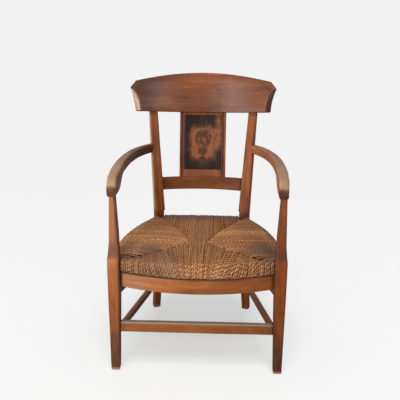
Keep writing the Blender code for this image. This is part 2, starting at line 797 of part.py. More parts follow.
def make_splat(crest, rail):
    """The splat leans from the lower rail's sweep to the crest's, and its tongue sits in a slot in each."""
    base = LOWER_RAIL_BASE + LOWER_RAIL_HEIGHT
    deep_base = sagitta(stile_x(LOWER_RAIL_BASE + LOWER_RAIL_HEIGHT / 2))
    deep_top = sagitta(STILE_TOP_X)
    lean = math.atan2(deep_top - deep_base, CREST_BASE - base)
    middle = Matrix.Translation((0, (deep_base + deep_top) / 2, (base + CREST_BASE) / 2))
    frame = BACK @ middle @ Matrix.Rotation(-lean, 4, "X")
    half = SPLAT_WIDTH / 2
    tall = CREST_BASE - base + 2 * SPLAT_TONGUE
    splat = back_band("splat", half, SPLAT_THICKNESS, tall, frame, PANEL_WOOD)
    boolean(splat, back_cut("splat_top_cut", CREST_BASE - FIT + CREST_HEIGHT), "DIFFERENCE")
    boolean(splat, back_cut("splat_base_cut", base + FIT - CREST_HEIGHT), "DIFFERENCE")
    half -= TENON_SHOULDER
    thick = SPLAT_TONGUE_THICKNESS
    boolean(splat, back_band("splat_tongue", half, thick, tall, frame), "UNION")
    slot = back_band("splat_slot", half + FIT, thick + 2 * FIT, tall + 2 * FIT, frame)
    boolean(crest, slot, "DIFFERENCE")
    boolean(rail, slot, "DIFFERENCE")
    size = (SPLAT_GROOVE_WIDTH, 2 * SPLAT_GROOVE_DEPTH, CREST_BASE - base - 2 * SPLAT_GROOVE_WIDTH)
    for side_name, side in SIDES.items():
        x = side * (SPLAT_WIDTH / 2 - SPLAT_GROOVE_INSET)
        turn = Matrix.Rotation(-math.asin(x / BACK_RADIUS), 4, "Z")
        at = frame @ Matrix.Translation((x, -sagitta(x) - SPLAT_THICKNESS / 2, 0)) @ turn
        boolean(splat, block(f"splat_groove_{side_name}", size, at), "DIFFERENCE")


# Arms


def arm_joint_height():
    """Height at which the arm's tenon enters the back post."""
    return ARM_REAR_TOP - ARM_THICKNESS / 2


def arm_path(t):
    """Point on the right arm's centre line in plan: a cubic from the nose to the back post."""
    end = post_centre(arm_joint_height())
    front_x = leg_centre(ARM_REST_HEIGHT).x - ARM_INSET
    swell = (front_x + ARM_SWELL_OUT, ARM_NOSE_Y + ARM_SWELL_BACK)
    bend = (front_x + ARM_BEND_OUT, end.y - ARM_BEND_LEAD)
    inside = (end.x + ARM_END_OUT, end.y)
    controls = ((front_x, ARM_NOSE_Y), swell, bend, inside)
    weights = ((1 - t) ** 3, 3 * t * (1 - t) ** 2, 3 * t**2 * (1 - t), t**3)
    x = sum(w * c[0] for w, c in zip(weights, controls))
    y = sum(w * c[1] for w, c in zip(weights, controls))
    return Vector((x, y))


def arm_heading(t, step=0.01):
    """Direction of the right arm's centre line in plan."""
    return (arm_path(min(1.0, t + step)) - arm_path(max(0.0, t - step))).normalized()


def arm_share(y):
    """Share of the arm's run at which its centre line reaches a depth."""
    low, high = 0.0, 1.0
    for _ in range(BISECTIONS):
        middle = (low + high) / 2
        if arm_path(middle).y < y:
            low = middle
        else:
            high = middle
    return high


def arm_width(share):
    return between(ARM_FRONT_WIDTH, ARM_REAR_WIDTH, share**ARM_WIDTH_CURVE)


def arm_levels(share):
    """Top and underside of an arm at a share of its run, with the nose rounded off."""
    top = between(ARM_FRONT_TOP, ARM_REAR_TOP, 1 - (1 - share) ** 2)
    from_nose = arm_path(share).y - ARM_NOSE_Y
    block_length = ARM_OVERHANG + POST_DEPTH + ARM_BLOCK_MARGIN
    lift = min(1.0, max(0.0, (from_nose - block_length) / ARM_LIFT_LENGTH))
    bottom = between(ARM_REST_HEIGHT, top - ARM_THICKNESS, lift * lift * (3 - 2 * lift))
    curl = max(0.0, 1 - from_nose / ARM_NOSE_ROUND)
    return top - ARM_NOSE_DROP * (1 - math.sqrt(1 - curl**2)), bottom, curl


def arm_rings(side):
    """Sections of an arm from its turned-down nose to the inside of the back post."""
    nose = [ARM_NOSE_ROUND * (1 - math.cos(math.radians(angle))) for angle in ARM_NOSE_ANGLES]
    shares = [arm_share(ARM_NOSE_Y + back) for back in nose]
    shares += [between(shares[-1], 1.0, i / ARM_STEPS) for i in range(1, ARM_STEPS + 1)]
    rings = []
    for share in shares:
        centre = arm_path(share)
        ahead = arm_heading(share)
        across = Vector((ahead.y, -ahead.x))
        top, bottom, curl = arm_levels(share)
        width = arm_width(share) - ARM_NOSE_TAPER * curl
        ring = []
        for x, z in rounded_section(width, top - bottom, ARM_ROUND):
            point = centre + across * x
            ring.append((side * point.x, point.y, (top + bottom) / 2 + z))
        rings.append(ring)
    return rings


def make_arms():
    height = arm_joint_height()
    end = post_centre(height)
    post_tip = leg_centre(ARM_REST_HEIGHT)
    at_post = arm_share(post_tip.y)
    inner_x = arm_path(at_post).x - arm_width(at_post) / 2
    for side_name, side in SIDES.items():
        arm = loft(f"arm_{side_name}", arm_rings(side), Matrix(), ARM_WOOD)
        scribe(arm, (POST_SHAPES[side_name],))
        root = Vector((side * post_tip.x, post_tip.y, post_tip.z - FIT))
        wide = POST_DEPTH - 2 * TENON_SHOULDER
        thick = POST_WIDTH - 2 * TENON_SHOULDER
        tenon(LEGS[side_name], arm, root, (0, 0, 1), wide, thick, POST_TENON_LENGTH)
        inner = Vector((side * inner_x, root.y, root.z + POST_TENON_LENGTH / 2))
        peg(f"peg_arm_front_{side_name}", inner, (side, 0, 0), (arm, LEGS[side_name]))
        out = Matrix.Rotation(-BACK_TURN, 2) @ Vector((post_section(height)[0] / 2, -ARM_TENON_AHEAD))
        shoulder = Vector((side * (end.x + out.x), end.y + out.y, height))
        along = Vector((-side * math.cos(BACK_TURN), math.sin(BACK_TURN), 0))
        tenon(arm, POSTS[side_name], shoulder, along, ARM_TENON_HEIGHT)
        x = abs(shoulder.x + along.x * TENON_DEPTH / 2)
        peg_in_post(f"peg_arm_back_{side_name}", x, height, side_name, arm)


# Rush


def rush_outline():
    """Points round the seat along the rails' centre lines, each with its outward direction, its place
    on the middle bridge, its closeness to a corner from 0 to 1 and the rush's reach past the rail."""
    points = []
    for name, (start, end, bow) in seat_rail_runs().items():
        matrix, half = rail_run(start, end)
        radius = (half**2 + bow**2) / (2 * bow)
        for i in range(RUSH_EDGE_STEPS):
            along = 2 * i / RUSH_EDGE_STEPS - 1
            x = half * along
            y = radius - bow - math.sqrt(radius**2 - x**2)
            outward = matrix.to_3x3() @ Vector((x, y - (radius - bow), 0)).normalized()
            if i == 0 and points:
                outward = (outward + points[-1][1]).normalized()
            middle = RUSH_BRIDGE_HALF * along
            bridge = {"front": middle, "right": RUSH_BRIDGE_HALF, "back": -middle, "left": -RUSH_BRIDGE_HALF}
            rim = matrix @ Vector((x, y, 0))
            hub = Vector((bridge[name], RUSH_BRIDGE_Y, 0))
            corner = along**4
            reach = between(RUSH_RIM_REACH, RUSH_CORNER_REACH, corner)
            if name in SIDES:
                from_front = (1 + SIDES[name] * along) / 2
                reach += RUSH_SIDE_SWELL * math.sin(math.pi * from_front**RUSH_SWELL_CURVE)
            points.append((Vector((rim.x, rim.y, 0)), outward, hub, corner, reach))
    return points


def rush_rise(y):
    """How far the rim's top lies above the rails' level, which is more behind than in front."""
    share = min(1.0, max(0.0, (y - RUSH_LIFT_START) / RUSH_LIFT_LENGTH))
    return RUSH_RIM_RISE + RUSH_REAR_LIFT * share**2 * (3 - 2 * share)


def rush_rings():
    """Rings of the seat from the middle of its top, round the rim and back to the middle of its underside."""
    outline = rush_outline()
    rings = []
    for share in RUSH_TOP_STEPS:
        ring = []
        for point, _, hub, corner, _ in outline:
            at = hub.lerp(point, share)
            rim_top = RAIL_LEVEL + rush_rise(point.y)
            dip = RUSH_SEAM_DIP * corner**2 * math.sin(math.pi * share)
            ring.append((at.x, at.y, between(RUSH_TOP, rim_top, share**2) - dip))
        rings.append(ring)
    for angle in RUSH_RIM_ANGLES:
        turn = math.radians(angle)
        ring = []
        for point, outward, _, _, reach in outline:
            at = point + outward * (reach * math.cos(turn))
            rise = rush_rise(point.y) if angle > 0 else RUSH_RIM_RISE
            ring.append((at.x, at.y, RAIL_LEVEL + rise * math.sin(turn)))
        rings.append(ring)
    for share in RUSH_UNDER_STEPS:
        ring = []
        for point, _, hub, _, _ in outline:
            at = hub.lerp(point, share)
            ring.append((at.x, at.y, RAIL_LEVEL - RUSH_RIM_RISE))
        rings.append(ring)
    return rings


def make_rush():
    """The seat as one soft body round the four rails, notched for the uprights."""
    rush = loft("rush_seat", rush_rings(), Matrix(), RUSH)
    rush.data.shade_smooth()
    gap = 2 * RUSH_CLEARANCE
    for name, (start, end, bow) in seat_rail_runs().items():
        matrix, half = rail_run(start, end)
        size = (half, bow, RAIL_THICKNESS + gap, RAIL_TALL + gap)
        channel = arc_band(f"rush_channel_{name}", *size, matrix, overrun=BAND_OVERRUN)
        boolean(rush, channel, "DIFFERENCE")
    for side_name, side in SIDES.items():
        leg = loft(f"rush_notch_leg_{side_name}", leg_rings(side, RUSH_CLEARANCE), Matrix())
        post = loft(f"rush_notch_post_{side_name}", post_rings(side, RUSH_CLEARANCE), Matrix())
        boolean(rush, leg, "DIFFERENCE")
        boolean(rush, post, "DIFFERENCE")


def centre_on_floor():
    """Slide the whole chair along Y until its footprint's box is centred on the origin."""
    bpy.context.view_layer.update()
    graph = bpy.context.evaluated_depsgraph_get()
    depths = []
    for obj in PARTS.objects:
        if obj.type == "MESH":
            evaluated = obj.evaluated_get(graph)
            mesh = evaluated.to_mesh()
            depths += [(obj.matrix_world @ vertex.co).y for vertex in mesh.vertices]
            evaluated.to_mesh_clear()
    BASE.location.y = -(min(depths) + max(depths)) / 2


make_uprights()
make_seat_rails()
make_apron()
make_front_stretcher()
make_back_stretcher()
make_side_stretchers()
crest_rail = make_crest()
lower_back_rail = make_lower_rail()
make_splat(crest_rail, lower_back_rail)
make_arms()
make_rush()
centre_on_floor()
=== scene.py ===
"""Looks of the rush-seated armchair: waxed old wood, woven rush and a plain studio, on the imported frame.

Metres, +Z up. The chair faces -Y, and left is -X, as seen from the front. Depths in the classes are measured
back from the front plane, which is the front face of the front legs below the knee.
"""

import json
import logging
import math
import random
from collections.abc import Callable, Sequence
from dataclasses import dataclass, field, replace
from enum import Enum
from typing import NamedTuple

import bmesh
import bpy
from mathutils import Matrix, Vector, noise

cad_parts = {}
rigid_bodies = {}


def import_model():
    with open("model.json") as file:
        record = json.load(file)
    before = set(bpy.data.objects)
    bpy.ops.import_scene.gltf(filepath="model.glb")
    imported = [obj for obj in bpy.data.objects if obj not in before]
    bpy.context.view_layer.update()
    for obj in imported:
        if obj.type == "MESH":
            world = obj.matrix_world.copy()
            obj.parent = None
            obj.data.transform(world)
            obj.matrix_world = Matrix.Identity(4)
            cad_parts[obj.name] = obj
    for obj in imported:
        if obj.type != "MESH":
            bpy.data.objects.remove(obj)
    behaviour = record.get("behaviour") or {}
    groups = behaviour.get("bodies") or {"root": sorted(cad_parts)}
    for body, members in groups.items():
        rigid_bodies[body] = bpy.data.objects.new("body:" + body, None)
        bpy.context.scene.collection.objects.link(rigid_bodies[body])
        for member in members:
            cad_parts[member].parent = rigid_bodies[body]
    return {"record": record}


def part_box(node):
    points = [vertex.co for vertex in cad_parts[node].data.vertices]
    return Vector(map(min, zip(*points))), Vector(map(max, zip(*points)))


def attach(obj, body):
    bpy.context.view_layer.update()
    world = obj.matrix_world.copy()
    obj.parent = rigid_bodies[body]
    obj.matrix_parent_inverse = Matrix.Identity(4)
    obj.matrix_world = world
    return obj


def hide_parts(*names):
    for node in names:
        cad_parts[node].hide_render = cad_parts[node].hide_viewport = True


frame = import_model()

LOG = logging.getLogger("armchair")
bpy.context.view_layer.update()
FRONT_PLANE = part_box("front_leg_left")[0].y
SLOTS = {part["node"]: part["material_slot"] for part in frame["record"]["subparts"]}
SEED = 1820

UP = Vector((0, 0, 1))

Colour = tuple[float, float, float]
Piece = bpy.types.Object
Node = bpy.types.Node


class Side(Enum):
    """A side of the chair, as seen from the front."""

    LEFT = -1
    RIGHT = 1

    @property
    def label(self) -> str:
        """The side's word in the names of pieces."""
        return self.name.lower()

    def carry(self, point: Vector) -> Vector:
        """A point of the right side, carried over to this side."""
        return Vector((self.value * point.x, point.y, point.z))


def between(a: float, b: float, share: float) -> float:
    """The value at a share of the way from a to b."""
    return a + (b - a) * share


def smooth(low: float, high: float, value: float) -> float:
    """A soft step from 0 at low to 1 at high."""
    share = min(1.0, max(0.0, (value - low) / (high - low)))
    return share * share * (3 - 2 * share)


def read_line(knots: Sequence[Sequence[float]], at: float) -> list[float]:
    """Read a broken line, which runs on level past its ends.

    Args:
        knots: Its points in rising order of the first number.
        at: The first number.

    Returns:
        The other numbers there.
    """
    for (start, *low), (end, *high) in zip(knots, knots[1:]):
        if at <= end:
            share = max(0.0, (at - start) / (end - start))
            return [between(a, b, share) for a, b in zip(low, high)]
    return list(knots[-1][1:])


def facing(direction: Vector, origin: Vector) -> Matrix:
    """A level frame with X along a direction.

    Args:
        direction: Where X points.
        origin: The frame's origin.

    Returns:
        The matrix, with Z as near upright as X allows.
    """
    x = direction.normalized()
    y = UP.cross(x).normalized()
    rotation = Matrix((x, y, x.cross(y))).transposed().to_4x4()
    return Matrix.Translation(origin) @ rotation


# Skins of wood


class OutlinePoint(NamedTuple):
    """A point of a section: its place, its outward direction and how far it lies on an arris."""

    x: float
    y: float
    nx: float
    ny: float
    edge: float


ARC_POINTS = 5
SIDE_POINTS = 4


def rounded_outline(width: float, depth: float, radius: float) -> list[OutlinePoint]:
    """A rectangle with rounded corners, anticlockwise.

    Args:
        width: Size along X.
        depth: Size along Y.
        radius: Radius of the corners.

    Returns:
        The points of the outline.
    """
    signs = ((1, 1), (-1, 1), (-1, -1), (1, -1))
    corners = [(sx * (width / 2 - radius), sy * (depth / 2 - radius)) for sx, sy in signs]
    outline = []
    for turn, (cx, cy) in enumerate(corners):
        for step in range(ARC_POINTS):
            share = step / (ARC_POINTS - 1)
            angle = math.pi / 2 * (turn + share)
            nx, ny = math.cos(angle), math.sin(angle)
            arris = math.sin(math.pi * share)
            outline.append(OutlinePoint(cx + radius * nx, cy + radius * ny, nx, ny, arris))
        end_x, end_y = corners[(turn + 1) % len(corners)]
        last = outline[-1]
        for step in range(1, SIDE_POINTS + 1):
            share = step / (SIDE_POINTS + 1)
            x = last.x + (end_x - cx) * share
            y = last.y + (end_y - cy) * share
            outline.append(OutlinePoint(x, y, last.nx, last.ny, 0.0))
    return outline


class Spot(NamedTuple):
    """A point of a piece: its place, its outward direction, its place in the wood and its arris share."""

    point: Vector
    normal: Vector
    grain: Vector
    edge: float


Station = list[Spot]


def flat_station(
    outline: Sequence[OutlinePoint], origin: Vector, across: Vector, through: Vector, along: float
) -> Station:
    """A section laid on a plane.

    Args:
        outline: The section's points.
        origin: The section's middle.
        across: Direction of the outline's X.
        through: Direction of the outline's Y.
        along: Distance of the section along the piece.

    Returns:
        The station.
    """
    station = []
    for x, y, nx, ny, edge in outline:
        point = origin + across * x + through * y
        station.append(Spot(point, across * nx + through * ny, Vector((along, x, y)), edge))
    return station


class Marks(NamedTuple):
    """How worn and how grimy a place is, from 0 to 1, and how light its wood is, about 1. The wear also
    carries painted sheen and highlights, the grime painted shade, and the lightness painted light and shade
    on some pieces.
    """

    worn: float = 0.0
    grime: float = 0.0
    light: float = 1.0


MarkRule = Callable[[Vector, Vector], Marks]
WAVE_SIZE = 0.00032
WAVE_SCALE = 13.0
RIPPLE_SIZE = 0.00012
RIPPLE_SCALE = 47.0
ARRIS_LOSS = 0.0007
ARRIS_SCALE = 38.0
GRAIN_SPREAD = 9.0


def hand_worked(point: Vector, normal: Vector, edge: float) -> Vector:
    """A point moved as a plane, a scraper and long use would have left it.

    Args:
        point: The true place.
        normal: The outward direction there.
        edge: How far the place lies on an arris.

    Returns:
        The point as it is on the old chair.
    """
    lift = WAVE_SIZE * noise.noise(point * WAVE_SCALE) + RIPPLE_SIZE * noise.noise(point * RIPPLE_SCALE)
    loss = ARRIS_LOSS * edge * max(0.0, noise.noise(point * ARRIS_SCALE))
    moved = point + normal * (lift - loss)
    moved.z = max(0.0, moved.z)
    return moved


def clean_marks(point: Vector, normal: Vector) -> Marks:
    """No wear and no grime."""
    return Marks()


def add_object(name: str, data: bpy.types.ID) -> Piece:
    """Put a new object in the scene.

    Args:
        name: The object's name.
        data: Its mesh, camera or light.

    Returns:
        The object.
    """
    made = bpy.data.objects.new(name, data)
    bpy.context.scene.collection.objects.link(made)
    return made


NUMBER = "float"
VECTOR = "float_vector"


class Loft:
    """A closed mesh through rows of points that carry attributes."""

    def __init__(self, **kinds: str) -> None:
        """Start an empty mesh.

        Args:
            kinds: The kind of each attribute, by its name.
        """
        self.work = bmesh.new()
        layers = self.work.verts.layers
        self.layers = {name: getattr(layers, kind).new(name) for name, kind in kinds.items()}

    def point(self, place: Vector, **values: Vector | float) -> bmesh.types.BMVert:
        """Add a point.

        Args:
            place: Its place, with its depth measured from the front plane.
            values: Its attributes.

        Returns:
            The vertex.
        """
        vert = self.work.verts.new(place + Vector((0, FRONT_PLANE, 0)))
        for name, value in values.items():
            vert[self.layers[name]] = value
        return vert

    def join(self, rows: Sequence[Sequence[bmesh.types.BMVert]]) -> None:
        """Skin closed rows of points, and close both ends.

        Args:
            rows: Rows of equal length, in order.
        """
        count = len(rows[0])
        for lower, upper in zip(rows, rows[1:]):
            for i in range(count):
                j = (i + 1) % count
                self.work.faces.new((lower[i], lower[j], upper[j], upper[i])).smooth = True
        self.work.faces.new(rows[0])
        self.work.faces.new(rows[-1])

    def finish(self, name: str) -> Piece:
        """Turn the faces outwards and put the mesh in the scene.

        Args:
            name: The piece's name.

        Returns:
            The piece.
        """
        bmesh.ops.recalc_face_normals(self.work, faces=self.work.faces[:])
        mesh = bpy.data.meshes.new(name)
        self.work.to_mesh(mesh)
        self.work.free()
        return add_object(name, mesh)


# Node graphs


class Wire:
    """An output socket of a graph, which adds and multiplies like a number."""

    def __init__(self, graph: "Graph", socket: bpy.types.NodeSocket) -> None:
        """Hold a socket of a graph."""
        self.graph = graph
        self.socket = socket

    def __add__(self, other: "Value") -> "Wire":
        """The sum."""
        return self.graph.math("ADD", self, other)

    def __sub__(self, other: "Value") -> "Wire":
        """The difference."""
        return self.graph.math("SUBTRACT", self, other)

    def __mul__(self, other: "Value") -> "Wire":
        """The product."""
        return self.graph.math("MULTIPLY", self, other)

    def __or__(self, other: "Value") -> "Wire":
        """The larger of the two."""
        return self.graph.math("MAXIMUM", self, other)


Value = Wire | float | Colour


class Graph:
    """A node tree with short ways to add and join nodes."""

    def __init__(self, tree: bpy.types.NodeTree) -> None:
        """Work on a tree."""
        self.tree = tree

    def node(self, kind: str, **settings: object) -> Node:
        """Add a node.

        Args:
            kind: The node's type, without the word ShaderNode.
            settings: Properties to set on it.

        Returns:
            The new node.
        """
        node = self.tree.nodes.new(kind if kind.startswith("Node") else f"ShaderNode{kind}")
        for key, value in settings.items():
            setattr(node, key, value)
        return node

    def wires(self, node: Node) -> dict[str, Wire]:
        """A node's outputs by their labels."""
        return {socket.name: Wire(self, socket) for socket in node.outputs}

    def feed(self, socket: bpy.types.NodeSocket, value: Value) -> None:
        """Link an output into an input, or set the input's constant.

        Args:
            socket: The input to feed.
            value: An output or a constant.
        """
        if isinstance(value, Wire):
            self.tree.links.new(value.socket, socket)
        elif socket.type == "RGBA":
            socket.default_value = (*value, 1.0)
        else:
            socket.default_value = value

    def fill(self, node: Node, values: dict[str, Value]) -> Node:
        """Feed several inputs of a node.

        Args:
            node: The node.
            values: An output or a constant for each input, by its label.

        Returns:
            The node.
        """
        for label, value in values.items():
            self.feed(node.inputs[label], value)
        return node

    def through(self, node: Node, *values: Value) -> Wire:
        """Feed a node's inputs in order.

        Args:
            node: The node.
            values: An output or a constant for each input.

        Returns:
            The node's first output.
        """
        for socket, value in zip(node.inputs, values):
            self.feed(socket, value)
        return Wire(self, node.outputs[0])

    def math(self, operation: str, *values: Value) -> Wire:
        """The result of an operation on numbers."""
        return self.through(self.node("Math", operation=operation), *values)

    def step(self, value: Value, low: float, high: float) -> Wire:
        """A soft step of a number, from 0 at low to 1 at high."""
        node = self.node("MapRange", interpolation_type="SMOOTHSTEP")
        return self.through(node, value, low, high, 0.0, 1.0)

    def mix(self, share: Value, first: Value, second: Value, blend: str = "MIX") -> Wire:
        """Mix two colours.

        Args:
            share: How much of the second colour.
            first: The first colour.
            second: The second colour.
            blend: How they mix.

        Returns:
            The mixed colour.
        """
        node = self.node("Mix", data_type="RGBA", blend_type=blend)
        for socket, value in ((node.inputs[0], share), (node.inputs[6], first), (node.inputs[7], second)):
            self.feed(socket, value)
        return Wire(self, node.outputs[2])

    def stretched(self, vector: Wire, scale: Colour) -> Wire:
        """A vector that is scaled along each axis."""
        return self.through(self.node("VectorMath", operation="MULTIPLY"), vector, scale)

    def noise(self, vector: Wire, scale: Colour, detail: float = 2.0, roughness: float = 0.5) -> Wire:
        """Noise that is stretched along the axes.

        Args:
            vector: Where the noise is read.
            scale: Waves in a metre along each axis.
            detail: Octaves.
            roughness: Share of each octave in the next.

        Returns:
            The noise, about 0.5.
        """
        place = self.stretched(vector, scale)
        values = {"Vector": place, "Scale": 1.0, "Detail": detail, "Roughness": roughness}
        return Wire(self, self.fill(self.node("TexNoise"), values).outputs[0])

    def bump(self, height: Wire, strength: float, distance: float) -> Wire:
        """The normal of a height, at a strength and with a height of 1 as a distance in metres."""
        values = {"Strength": strength, "Distance": distance, "Height": height}
        return self.wires(self.fill(self.node("Bump"), values))["Normal"]

    def attribute(self, name: str) -> dict[str, Wire]:
        """The outputs of a mesh attribute."""
        return self.wires(self.node("Attribute", attribute_name=name))

    def parts(self, vector: Wire) -> list[Wire]:
        """The three numbers of a vector."""
        return list(self.wires(self.fill(self.node("SeparateXYZ"), {"Vector": vector})).values())


FLOAT = "NodeSocketFloat"
COLOUR = "NodeSocketColor"


class EffectGroup:
    """A shader node group for one effect that materials share."""

    name = "effect"
    inputs: dict[str, str] = {}
    outputs: dict[str, str] = {}

    def tree(self) -> bpy.types.NodeTree:
        """The group's tree, built the first time it is asked for.

        Returns:
            The node tree.
        """
        found = bpy.data.node_groups.get(self.name)
        if found:
            return found
        tree = bpy.data.node_groups.new(self.name, "ShaderNodeTree")
        for way, plan in (("INPUT", self.inputs), ("OUTPUT", self.outputs)):
            for label, kind in plan.items():
                tree.interface.new_socket(name=label, in_out=way, socket_type=kind)
        graph = Graph(tree)
        given = graph.wires(graph.node("NodeGroupInput"))
        graph.fill(graph.node("NodeGroupOutput"), self.wire(graph, given))
        return tree

    def wire(self, graph: Graph, given: dict[str, Wire]) -> dict[str, Wire]:
        """Build the effect's nodes from the group's inputs, and give each output."""
        raise NotImplementedError

    def place(self, graph: Graph, finish: "Finish", **values: Value) -> dict[str, Wire]:
        """Place the group in a material, fed by the values and the finish's fields of the same names."""
        fields = {label: getattr(finish, label.lower()) for label in self.inputs if label not in values}
        return graph.wires(graph.fill(graph.node("Group", node_tree=self.tree()), fields | values))


class WoodGrain(EffectGroup):
    """Long figure, fibres and pores of a board."""

    name = "wood_grain"
    inputs = {"Pale": COLOUR, "Middle": COLOUR, "Dark": COLOUR, "Figure": FLOAT}
    outputs = {"Color": COLOUR, "Height": FLOAT}

    def wire(self, graph: Graph, given: dict[str, Wire]) -> dict[str, Wire]:
        """Build the grain from its coarsest waves to its pores.

        Args:
            graph: The group's graph.
            given: The group's inputs.

        Returns:
            Colour and height.
        """
        place = graph.attribute("grain")["Vector"]
        cloud = graph.noise(place, (8.0, 18.0, 18.0), 5.0, 0.6)
        figure = graph.noise(place, (6.0, 120.0, 120.0), 4.0, 0.65)
        curl = graph.noise(place, (60.0, 75.0, 75.0), 3.0, 0.6)
        fibre = graph.noise(place, (26.0, 800.0, 800.0), 2.0, 0.6)
        pore = graph.step(graph.noise(place, (75.0, 1700.0, 1700.0), 1.0, 0.5), 0.63, 0.72)
        tone = cloud * 0.75 + (figure - 0.5) * given["Figure"] + curl * 0.25
        colour = graph.mix(graph.step(tone, 0.26, 0.50), given["Dark"], given["Middle"])
        colour = graph.mix(graph.step(tone, 0.50, 0.74), colour, given["Pale"])
        colour = graph.mix(1.0, colour, fibre * 0.5 + 0.75, "MULTIPLY")
        colour = graph.mix(pore * 0.45, colour, given["Dark"])
        return {"Color": colour, "Height": fibre * 0.5 + figure * 0.5 - pore * 0.6}


class Aging(EffectGroup):
    """Wear on the arrises and the handled places, and grime where it gathers, with painted sheen laid on as
    wear and painted shade laid on as grime.
    """

    name = "aging"
    cover = 0.9
    inputs = {"Color": COLOUR, "Worn": COLOUR, "Grime": COLOUR, "Wear": FLOAT}
    outputs = {"Color": COLOUR, "Bare": FLOAT, "Soiled": FLOAT}

    def wire(self, graph: Graph, given: dict[str, Wire]) -> dict[str, Wire]:
        """Break the wear and grime, with the painted sheen and shade that they carry, up with noise and lay
        them over the colour.

        Args:
            graph: The group's graph.
            given: The group's inputs.

        Returns:
            Aged colour and the two masks.
        """
        edge, worn, grime = graph.parts(graph.attribute("aging")["Vector"])
        patch = graph.noise(graph.attribute("grain")["Vector"], (22.0, 70.0, 70.0), 4.0, 0.6)
        rub = graph.step(edge * (patch + 0.15), 0.25, 0.7) * given["Wear"]
        bare = rub | graph.step(patch * 0.5 + worn, 0.3, 1.15) * self.cover
        soil_and_shade = graph.step(patch * 0.6 + grime, 0.35, 1.25) * self.cover
        colour = graph.mix(bare, given["Color"], given["Worn"])
        return {"Color": graph.mix(soil_and_shade, colour, given["Grime"]), "Bare": bare, "Soiled": soil_and_shade}


class Scuffs(EffectGroup):
    """Scratches and uneven polish."""

    name = "scuffs"
    inputs = {"Roughness": FLOAT}
    outputs = {"Roughness": FLOAT, "Height": FLOAT}

    def wire(self, graph: Graph, given: dict[str, Wire]) -> dict[str, Wire]:
        """Build crossing scratches and patchy wax.

        Args:
            graph: The group's graph.
            given: The group's inputs.

        Returns:
            Roughness and height.
        """
        place = graph.attribute("grain")["Vector"]
        wax = graph.noise(place, (14.0, 30.0, 30.0), 4.0, 0.65)
        along = graph.step(graph.noise(place, (18.0, 420.0, 420.0), 2.0, 0.5), 0.66, 0.74)
        over = graph.step(graph.noise(place, (500.0, 24.0, 24.0), 2.0, 0.5), 0.70, 0.76)
        marks = along | over
        rough = (wax - 0.5) * 0.35 + given["Roughness"] + marks * 0.10
        return {"Roughness": rough, "Height": marks * -0.35}


class RushFibre(EffectGroup):
    """Twisted rush: split leaves laid round a cord, bleached and stained along its length, with painted
    shade at the cords' sides and in the stain.
    """

    name = "rush_fibre"
    wind = 0.025
    inputs = {"Pale": COLOUR, "Middle": COLOUR, "Dark": COLOUR, "Stain": COLOUR}
    outputs = {"Color": COLOUR, "Height": FLOAT}

    def wire(self, graph: Graph, given: dict[str, Wire]) -> dict[str, Wire]:
        """Build the twist, the leaf streaks, the stains and the painted shade.

        Args:
            graph: The group's graph.
            given: The group's inputs.

        Returns:
            Colour and height.
        """
        along, lobe, tone = graph.parts(graph.attribute("lay")["Vector"])
        gap, pale, grime = graph.parts(graph.attribute("aging")["Vector"])
        cosine, sine, _ = graph.parts(graph.attribute("wind")["Vector"])
        leaf = graph.through(graph.node("CombineXYZ"), along * 60.0, lobe, tone * 40.0)
        streak = graph.noise(leaf, (1.0, 2.2, 1.0), 3.0, 0.65)
        wander = graph.noise(leaf, (0.5, 0.0, 1.0), 2.0, 0.6)
        cloud = graph.noise(leaf, (0.14, 0.1, 1.0), 2.0, 0.5)
        wound = along * (4 * math.pi / self.wind) + (wander * 10.0 + tone * 25.0)
        strand = cosine * graph.math("COSINE", wound) + sine * graph.math("SINE", wound)
        light = streak * 0.50 + tone * 0.16 + cloud * 0.30 + strand * 0.20 + pale * 0.03
        colour = graph.mix(graph.step(light, 0.24, 0.50), given["Dark"], given["Middle"])
        colour = graph.mix(graph.step(light, 0.48, 0.74), colour, given["Pale"])
        # Painted shade: each cord is darkened at its sides, where it meets the next.
        colour = graph.mix(graph.step(gap, 0.6, 1.0) * 0.45, colour, given["Dark"])
        # Stains, which also carry the painted shade on the seat's underside.
        soil_and_shade = graph.step(cloud * 0.4 + grime, 0.22, 1.05)
        colour = graph.mix(soil_and_shade * 0.85, colour, given["Stain"])
        return {"Color": colour, "Height": strand * 0.5 + streak * 0.9}


